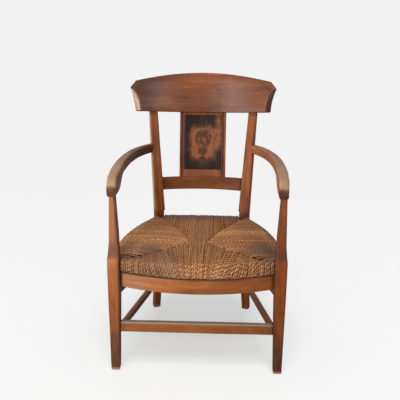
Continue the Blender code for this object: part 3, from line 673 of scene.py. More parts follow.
class PanelDesign(EffectGroup):
    """A dark footed vase with leafy sprays, painted on an amber ground and gone brown under its varnish."""

    name = "panel_design"
    inputs = {"Wood": COLOUR, "Ground": COLOUR, "Umber": COLOUR, "Ink": COLOUR}
    outputs = {"Color": COLOUR, "Height": FLOAT}

    def oval(self, place: Sequence[Wire], height: float, size: tuple[float, float]) -> Wire:
        """How deep a place lies in an oval on the picture's middle line.

        Args:
            place: The place across and up the picture.
            height: Height of the oval's middle.
            size: Its half width and half height.

        Returns:
            1 at the middle, 0 on the rim and less outside.
        """
        across = place[0] * (1 / size[0])
        up = (place[1] - height) * (1 / size[1])
        graph = across.graph
        return graph.math("SUBTRACT", 1.0, graph.math("SQRT", across * across + up * up))

    def wire(self, graph: Graph, given: dict[str, Wire]) -> dict[str, Wire]:
        """Draw the vase, its leaves, the border and the varnish.

        Args:
            graph: The group's graph.
            given: The group's inputs.

        Returns:
            Colour and height.
        """
        place = graph.attribute("panel")["Vector"]
        across, up, front = graph.parts(place)
        mirrored = graph.math("ABSOLUTE", across)
        both = (mirrored, up)
        loose = graph.noise(place, (4.0, 6.0, 1.0), 3.0, 0.6) * 0.5 - 0.25

        leaf = graph.step(graph.noise(place, (5.5, 7.5, 1.0), 4.0, 0.7), 0.32, 0.54)
        side = graph.step(mirrored + loose, 0.50, 0.80)
        over = graph.step(up + loose * 0.7, 0.70, 0.86)
        crown = graph.step(self.oval(both, 0.56, (0.50, 0.20)) + loose, 0.0, 0.25)
        leaves = (side | over) * (leaf * 0.5 + 0.5) | crown * leaf
        bowl = graph.step(self.oval(both, 0.35, (0.30, 0.10)), 0.0, 0.30)
        foot = graph.step(self.oval(both, 0.21, (0.22, 0.04)), 0.0, 0.40)
        neck = graph.step(self.oval(both, 0.28, (0.09, 0.12)), 0.0, 0.40)
        ledge = graph.step(up + loose * 0.30, 0.27, 0.13)
        drawn = leaves | bowl | foot | neck | ledge * 0.85

        mottle = graph.noise(place, (2.6, 4.0, 1.0), 6.0, 0.8)
        speck = graph.noise(place, (16.0, 20.0, 1.0), 3.0, 0.7)
        glow = graph.step(self.oval(both, 0.46, (1.25, 0.62)), -0.1, 0.9)
        bare = graph.step(across, 0.52, 0.80) * graph.step(up, 0.25, 0.5)
        light = glow * 0.72 + mottle * 0.80 + speck * 0.45 - drawn * 0.60 + bare * 0.70
        picture = graph.mix(graph.step(light, 0.28, 0.70), given["Ink"], given["Umber"])
        picture = graph.mix(graph.step(light, 0.70, 1.15), picture, given["Ground"])

        crack = graph.node("TexVoronoi", feature="DISTANCE_TO_EDGE")
        graph.fill(crack, {"Vector": graph.stretched(place, (9.0, 16.0, 0.0)), "Scale": 1.0})
        split = graph.step(graph.wires(crack)["Distance"], 0.05, 0.0)
        picture = graph.mix(split * 0.25, picture, given["Ink"])

        level = graph.step(graph.math("ABSOLUTE", up - 0.5), 0.5, 0.492)
        inside = graph.step(mirrored, 1.0, 0.985) * level * front
        return {"Color": graph.mix(inside, given["Wood"], picture), "Height": split * -0.6 * inside}


# Finishes


def new_material(name: str) -> tuple[bpy.types.Material, Graph, Node]:
    """A material with an empty Principled shader.

    Args:
        name: The material's name.

    Returns:
        The material, its graph and its shader node.
    """
    material = bpy.data.materials.new(name)
    material.use_nodes = True
    shader = material.node_tree.nodes["Principled BSDF"]
    return material, Graph(material.node_tree), shader


@dataclass(frozen=True)
class Finish:
    """A finish, which builds its material the first time it is asked for."""

    name: str

    def material(self) -> bpy.types.Material:
        """The finish's material.

        Returns:
            The material.
        """
        material = bpy.data.materials.get(self.name)
        if material is None:
            material, graph, shader = new_material(self.name)
            self.dress(graph, shader)
        return material

    def dress(self, graph: Graph, shader: Node) -> None:
        """Build the finish's nodes and feed them to the shader."""
        raise NotImplementedError


@dataclass(frozen=True)
class WoodFinish(Finish):
    """An old waxed wood."""

    pale: Colour
    middle: Colour
    dark: Colour
    worn: Colour
    grime: Colour
    roughness: float = 0.46
    coat: float = 0.05
    coat_roughness: float = 0.28
    gloss: float = 0.16
    figure: float = 1.0
    wear: float = 0.16
    rub_polish: float = 0.0

    def fresh(self, graph: Graph, grain: dict[str, Wire]) -> tuple[Wire, Wire]:
        """Colour and height of the wood before it aged."""
        toned = graph.mix(1.0, grain["Color"], graph.attribute("tone")["Fac"], "MULTIPLY")
        return toned, grain["Height"]

    def dress(self, graph: Graph, shader: Node) -> None:
        """Age the wood's colour and feed it to the shader with the scuffs.

        Args:
            graph: The material's graph.
            shader: Its Principled shader.
        """
        colour, height = self.fresh(graph, WoodGrain().place(graph, self))
        aged = Aging().place(graph, self, Color=colour)
        scuffs = Scuffs().place(graph, self)
        values = {
            "Base Color": aged["Color"],
            "Roughness": aged["Soiled"] * 0.12 + scuffs["Roughness"],
            "Specular IOR Level": self.gloss,
            "Coat Weight": aged["Bare"] * self.rub_polish + self.coat,
            "Coat Roughness": self.coat_roughness,
            "Normal": graph.bump(height + scuffs["Height"], 0.35, 0.0004),
        }
        graph.fill(shader, values)


@dataclass(frozen=True)
class PanelFinish(WoodFinish):
    """The splat's wood, with the painted design under its varnish."""

    ground: Colour = (0.30, 0.104, 0.040)
    umber: Colour = (0.100, 0.042, 0.025)
    ink: Colour = (0.026, 0.014, 0.012)

    def fresh(self, graph: Graph, grain: dict[str, Wire]) -> tuple[Wire, Wire]:
        """Colour and height of the painted panel before it aged."""
        design = PanelDesign().place(graph, self, Wood=grain["Color"])
        return design["Color"], grain["Height"] * 0.5 + design["Height"]


@dataclass(frozen=True)
class RushFinish(Finish):
    """Old twisted rush."""

    pale: Colour
    middle: Colour
    dark: Colour
    stain: Colour
    roughness: float = 0.6
    gloss: float = 0.2

    def dress(self, graph: Graph, shader: Node) -> None:
        """Feed the rush's colour and height to the shader.

        Args:
            graph: The material's graph.
            shader: Its Principled shader.
        """
        rush = RushFibre().place(graph, self)
        values = {
            "Base Color": rush["Color"],
            "Roughness": self.roughness,
            "Specular IOR Level": self.gloss,
            "Normal": graph.bump(rush["Height"], 0.6, 0.0006),
        }
        graph.fill(shader, values)


LEG_WOOD = WoodFinish(
    "leg_wood_waxed",
    pale=(0.45, 0.155, 0.043),
    middle=(0.33, 0.098, 0.021),
    dark=(0.20, 0.053, 0.012),
    # Pale colour for wear at the feet and on the stretcher, which also paints the sheen on the apron's left
    # half.
    worn=(0.40, 0.29, 0.21),
    grime=(0.050, 0.022, 0.014),
    roughness=0.42,
    coat=0.12,
    gloss=0.20,
    figure=0.7,
)
# A darker, redder copy of the leg wood for the right leg: painted shade for its place further from the
# light.
SHADED_LEG_WOOD = replace(
    LEG_WOOD,
    name="leg_wood_red",
    pale=(0.34, 0.096, 0.024),
    middle=(0.235, 0.056, 0.011),
    dark=(0.13, 0.029, 0.006),
    gloss=0.14,
    coat=0.08,
)
STILE_WOOD = WoodFinish(
    "stile_wood_waxed",
    pale=(0.36, 0.122, 0.034),
    middle=(0.26, 0.073, 0.018),
    dark=(0.13, 0.034, 0.009),
    worn=(0.38, 0.20, 0.12),
    grime=(0.045, 0.017, 0.011),
    roughness=0.50,
    gloss=0.10,
    figure=0.9,
)
BACK_WOOD = WoodFinish(
    "back_wood_polished",
    pale=(0.30, 0.096, 0.028),
    middle=(0.180, 0.047, 0.013),
    dark=(0.075, 0.019, 0.007),
    # Pale colour for wear, which also paints the highlight on the crest's left end.
    worn=(0.43, 0.235, 0.150),
    grime=(0.045, 0.020, 0.014),
    roughness=0.36,
    coat=0.24,
    gloss=0.26,
    figure=0.5,
    rub_polish=0.3,
)
ARM_WOOD = WoodFinish(
    "arm_wood_handled",
    pale=(0.34, 0.135, 0.050),
    middle=(0.22, 0.080, 0.032),
    dark=(0.10, 0.036, 0.018),
    worn=(0.41, 0.235, 0.122),
    grime=(0.056, 0.017, 0.010),
    roughness=0.38,
    coat=0.08,
    gloss=0.20,
)
INNER_WOOD = WoodFinish(
    "inner_wood_raw",
    pale=(0.48, 0.31, 0.16),
    middle=(0.40, 0.25, 0.12),
    dark=(0.25, 0.14, 0.07),
    worn=(0.5, 0.36, 0.22),
    grime=(0.10, 0.065, 0.045),
    roughness=0.62,
    coat=0.0,
)
PEG_WOOD = WoodFinish(
    "peg_wood_end_grain",
    pale=(0.34, 0.14, 0.055),
    middle=(0.24, 0.09, 0.036),
    dark=(0.12, 0.042, 0.02),
    worn=(0.4, 0.22, 0.12),
    grime=(0.05, 0.028, 0.02),
    roughness=0.5,
)
PANEL_WOOD = PanelFinish(
    "panel_wood_varnished",
    pale=(0.34, 0.114, 0.043),
    middle=(0.25, 0.081, 0.031),
    dark=(0.125, 0.039, 0.016),
    worn=(0.33, 0.18, 0.10),
    grime=(0.05, 0.028, 0.024),
    roughness=0.42,
    coat=0.04,
    gloss=0.08,
)
RUSH_WOVEN = RushFinish(
    "rush_woven",
    pale=(0.74, 0.405, 0.178),
    middle=(0.34, 0.136, 0.046),
    dark=(0.12, 0.045, 0.019),
    stain=(0.135, 0.075, 0.056),
)


def settle(piece: Piece, node: str, material: bpy.types.Material) -> None:
    """Give a piece its material and let it stand for a node of the frame.

    Args:
        piece: The finished piece.
        node: The node it stands for.
        material: Its material.
    """
    piece.data.materials.append(material)
    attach(piece, "root")
    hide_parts(node)
    LOG.info("%s stands for %s with %d faces", piece.name, node, len(piece.data.polygons))


def shape_wood(
    node: str, stations: Sequence[Station], finish: Finish, marks: MarkRule = clean_marks, tone: float = 1.0
) -> Piece:
    """Skin a piece of wood, dress it and let it stand for its node.

    Args:
        node: The node of the frame.
        stations: The piece's sections.
        finish: Its wood.
        marks: How worn and grimy each place is, with its painted sheen, painted shade and painted light.
        tone: How light the board is.

    Returns:
        The piece.
    """
    name = f"{node}_shaped"
    draw = random.Random(f"{SEED} {name}")
    start = Vector([draw.uniform(1.0, GRAIN_SPREAD) for _ in range(3)])
    loft = Loft(grain=VECTOR, aging=VECTOR, tone=NUMBER)
    rows = []
    for station in stations:
        row = []
        for point, normal, grain, edge in station:
            worn, grime, light = marks(point, normal)
            aging = Vector((edge, worn, grime))
            place = hand_worked(point, normal, edge)
            row.append(loft.point(place, grain=grain + start, aging=aging, tone=tone * light))
        rows.append(row)
    loft.join(rows)
    piece = loft.finish(name)
    settle(piece, node, finish.material())
    return piece


# Uprights

RING_GAP = 0.009


def spread(stops: Sequence[float], gap: float = RING_GAP) -> list[float]:
    """Values that keep every stop and fill the way between with even steps.

    Args:
        stops: The values to keep, in order.
        gap: The widest step.

    Returns:
        The values.
    """
    values = [stops[0]]
    for low, high in zip(stops, stops[1:]):
        count = max(1, math.ceil((high - low) / gap))
        values += [between(low, high, i / count) for i in range(1, count + 1)]
    return values


class Upright:
    """What front legs and back posts share: sections that rise from a rounded foot."""

    foot_round = 0.005
    foot_turns = (0.0, 0.35, 0.7)
    foot_draw = 0.8
    corner = 0.0034
    turn = 0.0

    def centre(self, height: float) -> Vector:
        """Middle of the right upright's section at a height."""
        raise NotImplementedError

    def section(self, height: float) -> tuple[float, float, float]:
        """Width and depth at a height, and how far the inner edge is cut back there."""
        raise NotImplementedError

    def station(self, side: Side, height: float, inset: float) -> Station:
        """The section at a height as a station.

        Args:
            side: The upright's side.
            height: Height above the floor.
            inset: How far every face is drawn in.

        Returns:
            The station.
        """
        width, depth, cut = self.section(height)
        across = side.carry(Vector((math.cos(self.turn), -math.sin(self.turn), 0)))
        through = side.carry(Vector((math.sin(self.turn), math.cos(self.turn), 0)))
        origin = side.carry(self.centre(height)) + across * (cut / 2)
        outline = rounded_outline(width - cut - 2 * inset, depth - 2 * inset, self.corner)
        return flat_station(outline, origin, across, through, height)

    def stations(self, side: Side, stops: Sequence[float]) -> list[Station]:
        """Sections from the foot to the top.

        Args:
            side: The upright's side.
            stops: Heights above the foot that get a section.

        Returns:
            The stations.
        """
        made = []
        for turn in self.foot_turns:
            inset = self.foot_round * (1 - math.sin(math.pi / 2 * turn)) * self.foot_draw
            height = self.foot_round * (1 - math.cos(math.pi / 2 * turn))
            made.append(self.station(side, height, inset))
        return made + [self.station(side, height, 0.0) for height in spread([self.foot_round, *stops])]


@dataclass
class FrontLegs(Upright):
    """Front legs, each in one piece with the slim post that carries the arm."""

    outer_x: float = 0.2745
    foot_width: float = 0.027
    foot_depth: float = 0.030
    foot_inset: float = 0.003
    taper_height: float = 0.290
    knee_height: float = 0.376
    knee_width: float = 0.037
    knee_depth: float = 0.043
    neck_height: float = 0.446
    neck_width: float = 0.0275
    neck_depth: float = 0.036
    neck_inset: float = 0.0045
    neck_setback: float = 0.020
    post_width: float = 0.018
    post_depth: float = 0.028
    post_inset: float = 0.0065
    post_setback: float = 0.032
    top_height: float = 0.575
    crease: float = 0.0012
    # The right leg gets the darker copy of the leg wood, as painted shade.
    woods: dict[Side, WoodFinish] = field(
        default_factory=lambda: {Side.LEFT: LEG_WOOD, Side.RIGHT: SHADED_LEG_WOOD}
    )

    def faces(self, height: float) -> list[float]:
        """A leg's four faces.

        Args:
            height: Height above the floor.

        Returns:
            Inset of the outer face, width, setback of the front face and depth.
        """
        neck = (height - self.knee_height) / (self.neck_height - self.knee_height)
        if 0 < neck < 1:
            height = between(self.knee_height, self.neck_height, 1 - (1 - neck) ** 2)
        knots = (
            (0.0, self.foot_inset, self.foot_width, 0.0, self.foot_depth),
            (self.taper_height, 0.0, self.knee_width, 0.0, self.knee_depth),
            (self.knee_height, 0.0, self.knee_width, 0.0, self.knee_depth),
            (self.neck_height, self.neck_inset, self.neck_width, self.neck_setback, self.neck_depth),
            (self.top_height, self.post_inset, self.post_width, self.post_setback, self.post_depth),
        )
        return read_line(knots, height)

    def section(self, height: float) -> tuple[float, float, float]:
        """Width and depth of a leg at a height, where nothing is cut back."""
        _, width, _, depth = self.faces(height)
        return width, depth, 0.0

    def centre(self, height: float) -> Vector:
        """Middle of the right leg's section at a height."""
        inset, width, setback, depth = self.faces(height)
        return Vector((self.outer_x - inset - width / 2, setback + depth / 2, height))

    def inner_x(self, height: float) -> float:
        """Distance of a leg's inner face from the middle plane."""
        return self.centre(height).x - self.section(height)[0] / 2

    def back_y(self, height: float) -> float:
        """Depth of a leg's rear face."""
        return self.centre(height).y + self.section(height)[1] / 2

    def marks(self, point: Vector, normal: Vector) -> Marks:
        """Scuffs at the foot, grime on the post, grime with painted shade low down, and painted shade along
        the inner face.

        Args:
            point: A place on the leg.
            normal: The outward direction there; not used.

        Returns:
            The marks.
        """
        scuff = smooth(0.012, 0.003, point.z)
        hands = between(0.38, 0.66, smooth(self.neck_height, self.knee_height + 0.02, point.z))
        hands *= smooth(self.knee_height - 0.002, self.knee_height + 0.004, point.z)
        hands *= smooth(self.top_height, self.neck_height, point.z)
        # Darker towards the floor: grime, and painted shade for the light falling off downwards.
        low = 0.70 * smooth(0.30, 0.03, point.z)
        # Painted shade along the inner side of the leg's front.
        inner = 0.58 * smooth(0.0105, 0.004, abs(point.x) - self.inner_x(point.z))
        return Marks(0.8 * scuff, max(hands + low, inner) * (1 - scuff))

    def build(self) -> None:
        """Build both legs."""
        crease = (self.knee_height - self.crease, self.knee_height + self.crease)
        stops = [self.taper_height, *crease, self.neck_height, self.top_height]
        for side in Side:
            shape_wood(f"front_leg_{side.label}", self.stations(side, stops), self.woods[side], self.marks)


@dataclass
class BackPosts(Upright):
    """Rear legs and stiles, each in one piece: swept back below the seat and raked above it."""

    seat_height: float = 0.400
    seat_x: float = 0.1565
    seat_y: float = 0.434
    splay_x: float = 0.020
    splay_y: float = 0.0395
    sweep: float = 1.5
    foot_size: float = 0.027
    width: float = 0.037
    depth: float = 0.034
    flare: float = 0.025
    top_width: float = 0.029
    top_depth: float = 0.024
    step: float = 0.004
    step_height: float = 0.412
    turn: float = math.radians(18)
    rake: float = math.radians(9.5)
    crest_base: float = 0.370
    crest_sink: float = 0.004
    # The right post is drawn lighter than the left: painted sheen on the right, painted shade on the left.
    tones: dict[Side, float] = field(default_factory=lambda: {Side.LEFT: 0.98, Side.RIGHT: 1.10})

    def stile_x(self, rise: float) -> float:
        """Distance of a stile's middle from the middle plane, at a rise up the raked back."""
        return self.seat_x + self.flare * rise / self.crest_base

    @property
    def top_x(self) -> float:
        """Distance of the stiles from the middle plane under the crest."""
        return self.stile_x(self.crest_base)

    @property
    def raked(self) -> Matrix:
        """The raked back's frame: Z up the stiles from the seat height."""
        lean = Matrix.Rotation(-self.rake, 4, "X")
        return Matrix.Translation((0, self.seat_y, self.seat_height)) @ lean

    def centre(self, height: float) -> Vector:
        """Middle of the right post's section.

        Args:
            height: Height above the floor.

        Returns:
            The middle.
        """
        if height <= self.seat_height:
            t = (1 - height / self.seat_height) ** self.sweep
            return Vector((self.seat_x + self.splay_x * t, self.seat_y + self.splay_y * t, height))
        rise = (height - self.seat_height) / math.cos(self.rake)
        return Vector((self.stile_x(rise), self.seat_y + rise * math.sin(self.rake), height))

    def section(self, height: float) -> tuple[float, float, float]:
        """A post's section.

        Args:
            height: Height above the floor.

        Returns:
            Width, depth and how far the inner edge is cut back.
        """
        if height <= self.seat_height:
            t = height / self.seat_height
            width = between(self.foot_size, self.width, t)
            return width, between(self.foot_size, self.depth, t), self.step * t
        t = (height - self.seat_height) / (self.crest_base * math.cos(self.rake))
        cut = self.step * smooth(self.step_height, self.step_height - self.step, height)
        return between(self.width, self.top_width, t), between(self.depth, self.top_depth, t), cut

    def marks(self, point: Vector, normal: Vector) -> Marks:
        """Scuffs at the foot, a painted highlight on the left post's left-facing side, painted shade on the
        left post and painted sheen on the right one, and grime low down, on the inner step and under the
        crest.

        Args:
            point: A place on the post.
            normal: The outward direction there.

        Returns:
            The marks.
        """
        scuff = 0.7 * smooth(0.022, 0.004, point.z)
        low = 0.35 * smooth(0.10, 0.015, point.z)
        seat = 0.55 * smooth(0.022, 0.004, abs(point.z - self.seat_height))
        crest = 0.6 * smooth(0.74, 0.765, point.z)
        # Painted highlight on the left post's left-facing side; painted shade on the left post and painted
        # sheen on the right.
        painted_sheen = 0.9 * smooth(0.55, 0.90, -normal.x) * smooth(0.40, 0.45, point.z) if point.x < 0 else 0.0
        shade = between(0.86 if point.x < 0 else 1.04, 1.4, painted_sheen)
        return Marks(max(scuff, painted_sheen), max(low, seat, crest) * (1 - painted_sheen), shade)

    def build(self) -> None:
        """Build both posts."""
        top = self.seat_height + (self.crest_base + self.crest_sink) * math.cos(self.rake)
        step = (self.step_height - self.step, self.step_height)
        for side in Side:
            stations = self.stations(side, [self.seat_height, *step, top])
            shape_wood(f"back_post_{side.label}", stations, STILE_WOOD, self.marks, self.tones[side])


# Curved boards


@dataclass
class Arc:
    """A level arc between two points, bowing to the right of its run."""

    start: Vector
    end: Vector
    bow: float

    def __post_init__(self) -> None:
        """Work out the arc's frame, half chord and radius."""
        run = self.end - self.start
        self.frame = facing(run, (self.start + self.end) / 2)
        self.half = run.length / 2
        self.radius = (self.half**2 + self.bow**2) / (2 * self.bow)

    @property
    def length(self) -> float:
        """Length along the arc."""
        return 2 * self.radius * math.asin(self.half / self.radius)

    def at(self, share: float) -> tuple[Vector, Vector, Vector]:
        """A place on the arc.

        Args:
            share: From -1 at the start to 1 at the end.

        Returns:
            The place, the outward direction and the direction of the run.
        """
        angle = share * math.asin(self.half / self.radius)
        outward = Vector((math.sin(angle), -math.cos(angle), 0))
        ahead = Vector((math.cos(angle), math.sin(angle), 0))
        place = Vector((0, self.radius - self.bow, 0)) + outward * self.radius
        turn = self.frame.to_3x3()
        return self.frame @ place, turn @ outward, turn @ ahead

    def stations(self, thickness: float, tall: float, corner: float, reach: float) -> list[Station]:
        """Sections of a board along the arc.

        Args:
            thickness: The board's thickness.
            tall: Its height.
            corner: Radius of its arrises.
            reach: Share of the arc where the board ends.

        Returns:
            The stations.
        """
        outline = rounded_outline(thickness, tall, corner)
        count = max(2, math.ceil(self.length * reach / RING_GAP))
        made = []
        for i in range(count + 1):
            share = reach * (2 * i / count - 1)
            place, outward, _ = self.at(share)
            along = share * self.length / 2
            made.append(flat_station(outline, place, outward, UP, along))
        return made


@dataclass
class SeatFrame:
    """The four seat rails inside the rush, and the bowed apron below its front edge."""

    legs: FrontLegs
    posts: BackPosts
    rail_level: float = 0.357
    rail_tall: float = 0.024
    rail_thickness: float = 0.018
    rail_corner: float = 0.002
    rail_end: float = 0.017
    front_rail_back: float = 0.0085
    front_rail_bow: float = 0.048
    side_bow: float = 0.016
    back_bow: float = 0.006
    apron_top: float = 0.331
    apron_height: float = 0.0485
    apron_thickness: float = 0.018
    apron_back: float = 0.0075
    apron_bow: float = 0.052
    apron_corner: float = 0.003
    seat_in: float = 0.0015

    def rails(self) -> dict[str, Arc]:
        """The rails' centre lines.

        Returns:
            An arc for each rail, each bowing outwards.
        """
        level = self.rail_level
        front = self.legs.centre(level)
        back = self.posts.centre(level)
        shoulder = Vector((self.legs.inner_x(level), front.y + self.front_rail_back, level))
        left = Side.LEFT.carry
        return {
            "front": Arc(left(shoulder), shoulder, self.front_rail_bow),
            "right": Arc(front, back, self.side_bow),
            "back": Arc(back, left(back), self.back_bow),
            "left": Arc(left(back), left(front), self.side_bow),
        }

    def apron_marks(self, point: Vector, normal: Vector) -> Marks:
        """Painted shade under the rush, grime where the apron meets the legs, and a painted sheen that
        lightens the left half.

        Args:
            point: A place on the apron.
            normal: The outward direction there.

        Returns:
            The marks.
        """
        # Painted shade along the top, under the rush.
        top = 0.75 * smooth(self.apron_top - 0.006, self.apron_top - 0.001, point.z)
        ends = 0.6 * smooth(0.226, 0.2365, abs(point.x))
        behind = 0.4 * smooth(0.2, 0.8, normal.y)
        # Painted sheen and painted light on the left half.
        painted_sheen = 0.32 * smooth(-0.06, -0.19, point.x) * smooth(0.2, -0.2, normal.y)
        return Marks(painted_sheen, max(top, ends, behind), between(0.88, 1.2, smooth(0.05, -0.2, point.x)))

    def build(self) -> None:
        """Build the rails and the apron."""
        for name, arc in self.rails().items():
            upright = 0.0 if name == "front" else self.rail_end
            reach = 1 - upright / arc.half
            stations = arc.stations(self.rail_thickness, self.rail_tall, self.rail_corner, reach)
            shape_wood(f"seat_rail_{name}", stations, INNER_WOOD)
        height = self.apron_top - self.apron_height / 2
        shoulder = Vector((self.legs.inner_x(height), self.legs.centre(height).y + self.apron_back, height))
        arc = Arc(Side.LEFT.carry(shoulder), shoulder, self.apron_bow)
        reach = 1 + self.seat_in / arc.half
        stations = arc.stations(self.apron_thickness, self.apron_height, self.apron_corner, reach)
        shape_wood("front_apron", stations, LEG_WOOD, self.apron_marks)


@dataclass
class Stretchers:
    """The bars between the legs."""

    legs: FrontLegs
    posts: BackPosts
    front_height: float = 0.149
    front_tall: float = 0.034
    front_thickness: float = 0.018
    side_bars: tuple[tuple[str, float, float], ...] = (("upper", 0.259, 0.026), ("lower", 0.120, 0.020))
    side_thickness: float = 0.016
    back_height: float = 0.170
    back_tall: float = 0.026
    back_thickness: float = 0.016
    corner: float = 0.0032
    seat_in: float = 0.0015
    belly: float = 0.0008
    shoe_depth: float = 0.006
    front_tone: float = 0.93
    back_tone: float = 0.85
    side_tone: float = 0.8

    def bar(self, node: str, start: Vector, end: Vector, size: tuple[float, float], tone: float) -> None:
        """A straight bar with eased arrises, a touch fuller in the middle.

        Args:
            node: The bar's node.
            start: Middle of its first end.
            end: Middle of its last end.
            size: Thickness and height.
            tone: How light the bar is.
        """
        run = end - start
        turn = facing(run, start).to_3x3()
        through = turn @ Vector((0, 1, 0))
        count = math.ceil(run.length / RING_GAP)
        stations = []
        for i in range(count + 1):
            share = i / count
            fuller = self.belly * math.sin(math.pi * share)
            outline = rounded_outline(size[0] + fuller, size[1] + fuller, self.corner)
            along = run.length * share
            stations.append(flat_station(outline, start + run * share, through, turn @ UP, along))
        top = max(start.z, end.z) + size[1] / 2

        def marks(point: Vector, normal: Vector) -> Marks:
            """Grime, and more of it at the ends."""
            near = min((point - start).length, (point - end).length)
            return Marks(0.0, max(0.4 * smooth(0.014, 0.006, near - size[1] / 2), 0.25))

        def front_marks(point: Vector, normal: Vector) -> Marks:
            """The same, with shoe wear on top and a darker right half, which is painted shade."""
            # Painted shade on the right half.
            shade = between(1.0, 0.80, smooth(0.0, 0.22, point.x))
            return Marks(smooth(top - self.shoe_depth, top, point.z), marks(point, normal).grime, shade)

        rule = front_marks if node == "front_stretcher" else marks
        shape_wood(node, stations, LEG_WOOD, rule, tone)

    def build(self) -> None:
        """Build the front, back and side stretchers."""
        legs, posts = self.legs, self.posts
        height = self.front_height
        end = Vector((legs.inner_x(height) + self.seat_in, legs.centre(height).y, height))
        size = (self.front_thickness, self.front_tall)
        self.bar("front_stretcher", Side.LEFT.carry(end), end, size, self.front_tone)
        end = posts.centre(self.back_height)
        end.x -= posts.section(self.back_height)[0] / 2 - self.seat_in
        size = (self.back_thickness, self.back_tall)
        self.bar("back_stretcher", Side.LEFT.carry(end), end, size, self.back_tone)
        for level, height, tall in self.side_bars:
            for side in Side:
                start, end = legs.centre(height), posts.centre(height)
                run = (end - start).normalized()
                start = start + run * ((legs.back_y(height) - self.seat_in - start.y) / run.y)
                end = end - run * (posts.section(height)[1] / 2 - self.seat_in)
                node = f"side_stretcher_{level}_{side.label}"
                size = (self.side_thickness, tall)
                self.bar(node, side.carry(start), side.carry(end), size, self.side_tone)


# The back


@dataclass
class Back:
    """The crest, the lower rail and the splat between them, on one concave sweep."""

    posts: BackPosts
    radius: float = 0.50
    crest_height: float = 0.143
    crest_arch: float = 0.035
    crest_corner_drop: float = 0.025
    crest_corner_cut: float = 0.0185
    crest_half_base: float = 0.2460
    crest_flare: float = 0.0175
    crest_flare_curve: float = 1.9
    crest_end_skew: float = 0.0225
    crest_top_skew: float = 0.006
    crest_skew_curve: float = 7.0
    crest_thickness: float = 0.028
    crest_round: float = 0.0035
    lower_base: float = 0.084
    lower_height: float = 0.046
    lower_thickness: float = 0.021
    lower_corner: float = 0.003
    lower_arch: float = 0.004
    lower_end: float = 0.003
    lower_tone: float = 0.72
    splat_width: float = 0.170
    splat_thickness: float = 0.011
    splat_corner: float = 0.0022
    splat_end: float = 0.002
    groove_x: float = 0.0755
    groove_width: float = 0.003
    groove_depth: float = 0.002
    picture_half: float = 0.0695
    picture_low: float = 0.029
    picture_high: float = 0.232

    def sagitta(self, x: float) -> float:
        """How far the sweep comes forward at x from its deepest line."""
        return self.radius - math.sqrt(self.radius**2 - x**2)

    def swept(self, x: float, direction: Vector) -> Vector:
        """A direction that is turned with the sweep at x."""
        return Matrix.Rotation(-math.asin(x / self.radius), 3, "Z") @ direction

    @property
    def corner_share(self) -> float:
        """Share of the crest's half width where its corner is cut."""
        widest = self.crest_half_base + self.crest_flare
        return (widest - self.crest_corner_cut) / widest

    def crest_half(self, height: float) -> float:
        """Half width of the crest's rear face at a height above its base."""
        return self.crest_half_base + self.crest_flare * self.end_share(height) ** self.crest_flare_curve

    def end_share(self, height: float) -> float:
        """Share of the way up the crest's ends to their widest point."""
        widest = self.crest_height - self.crest_arch - self.crest_corner_drop
        return min(1.0, max(0.0, height / widest))

    def crest_top(self, share: float) -> float:
        """Height of the crest's top edge.

        Args:
            share: Share of the half width.

        Returns:
            The height above the crest's base.
        """
        arch = self.crest_arch * min(1.0, abs(share) / self.corner_share) ** 2
        drop = max(0.0, abs(share) - self.corner_share) / (1 - self.corner_share)
        return self.crest_height - arch - self.crest_corner_drop * drop

    def crest_station(self, share: float, inset: float) -> Station:
        """A section of the crest.

        Args:
            share: Share of the half width, from -1 to 1.
            inset: How far every face is drawn in.

        Returns:
            The station.
        """
        top = self.crest_top(share)
        frame_in = self.posts.raked @ Matrix.Translation((0, 0, self.posts.crest_base))
        thick = self.crest_thickness
        station = []
        for spot in rounded_outline(thick - 2 * inset, top - 2 * inset, self.crest_round):
            depth, height = spot.x, spot.y + top / 2
            upper = self.end_share(height) ** self.crest_skew_curve
            skew = between(self.crest_end_skew, self.crest_top_skew, upper)
            skew *= 0.5 - depth / thick
            x = share * (self.crest_half(height) - skew)
            y = self.sagitta(self.posts.top_x) - self.sagitta(x) + depth
            normal = self.swept(x, Vector((0, spot.nx, spot.ny)))
            if abs(share) == 1.0:
                normal = Vector((share, 0, 0))
            point = frame_in @ Vector((x, y, height))
            grain = Vector((x, height, depth))
            station.append(Spot(point, frame_in.to_3x3() @ normal, grain, spot.edge))
        return station

    def crest_marks(self, point: Vector, normal: Vector) -> Marks:
        """Painted shade on the top and bottom faces, on the right end and on the left third, a painted
        highlight on the left end, grime on the rear, and a lighter middle near the top.

        Args:
            point: A place on the crest.
            normal: The outward direction there.

        Returns:
            The marks.
        """
        # Painted shade on the top and bottom faces.
        edge = 0.75 * smooth(0.30, 0.80, abs(normal.z))
        behind = 0.35 * smooth(0.3, 0.8, normal.y)
        warm = 1 + 0.40 * smooth(0.14, 0.03, abs(point.x)) * smooth(0.82, 0.875, point.z)
        # A painted highlight on the left end, and painted shade on the right end and the left third.
        painted_sheen = 1.0 if normal.x < -0.99 else 0.0
        shaded = 0.6 if normal.x > 0.99 else 0.60 * smooth(-0.09, -0.20, point.x)
        return Marks(painted_sheen, max(edge, behind, shaded) * (1 - painted_sheen), warm)

    def build_crest(self) -> None:
        """Build the crest from end to end."""
        corner = self.corner_share
        inner = spread([-corner, 0.0, corner], 0.03)
        shares = spread([-1.0, -corner], 0.02)[:-1] + inner + spread([corner, 1.0], 0.02)[1:]
        ends = [(0.0, self.crest_round * 0.9)]
        for turn in (math.radians(20), math.radians(50)):
            back = self.crest_round * (1 - math.cos(turn)) / self.crest_half_base
            ends.append((back, self.crest_round * (1 - math.sin(turn))))
        stations = [self.crest_station(back - 1.0, inset) for back, inset in ends]
        stations += [self.crest_station(share, 0.0) for share in shares[1:-1]]
        stations += [self.crest_station(1.0 - back, inset) for back, inset in reversed(ends)]
        shape_wood("crest_rail", stations, BACK_WOOD, self.crest_marks)

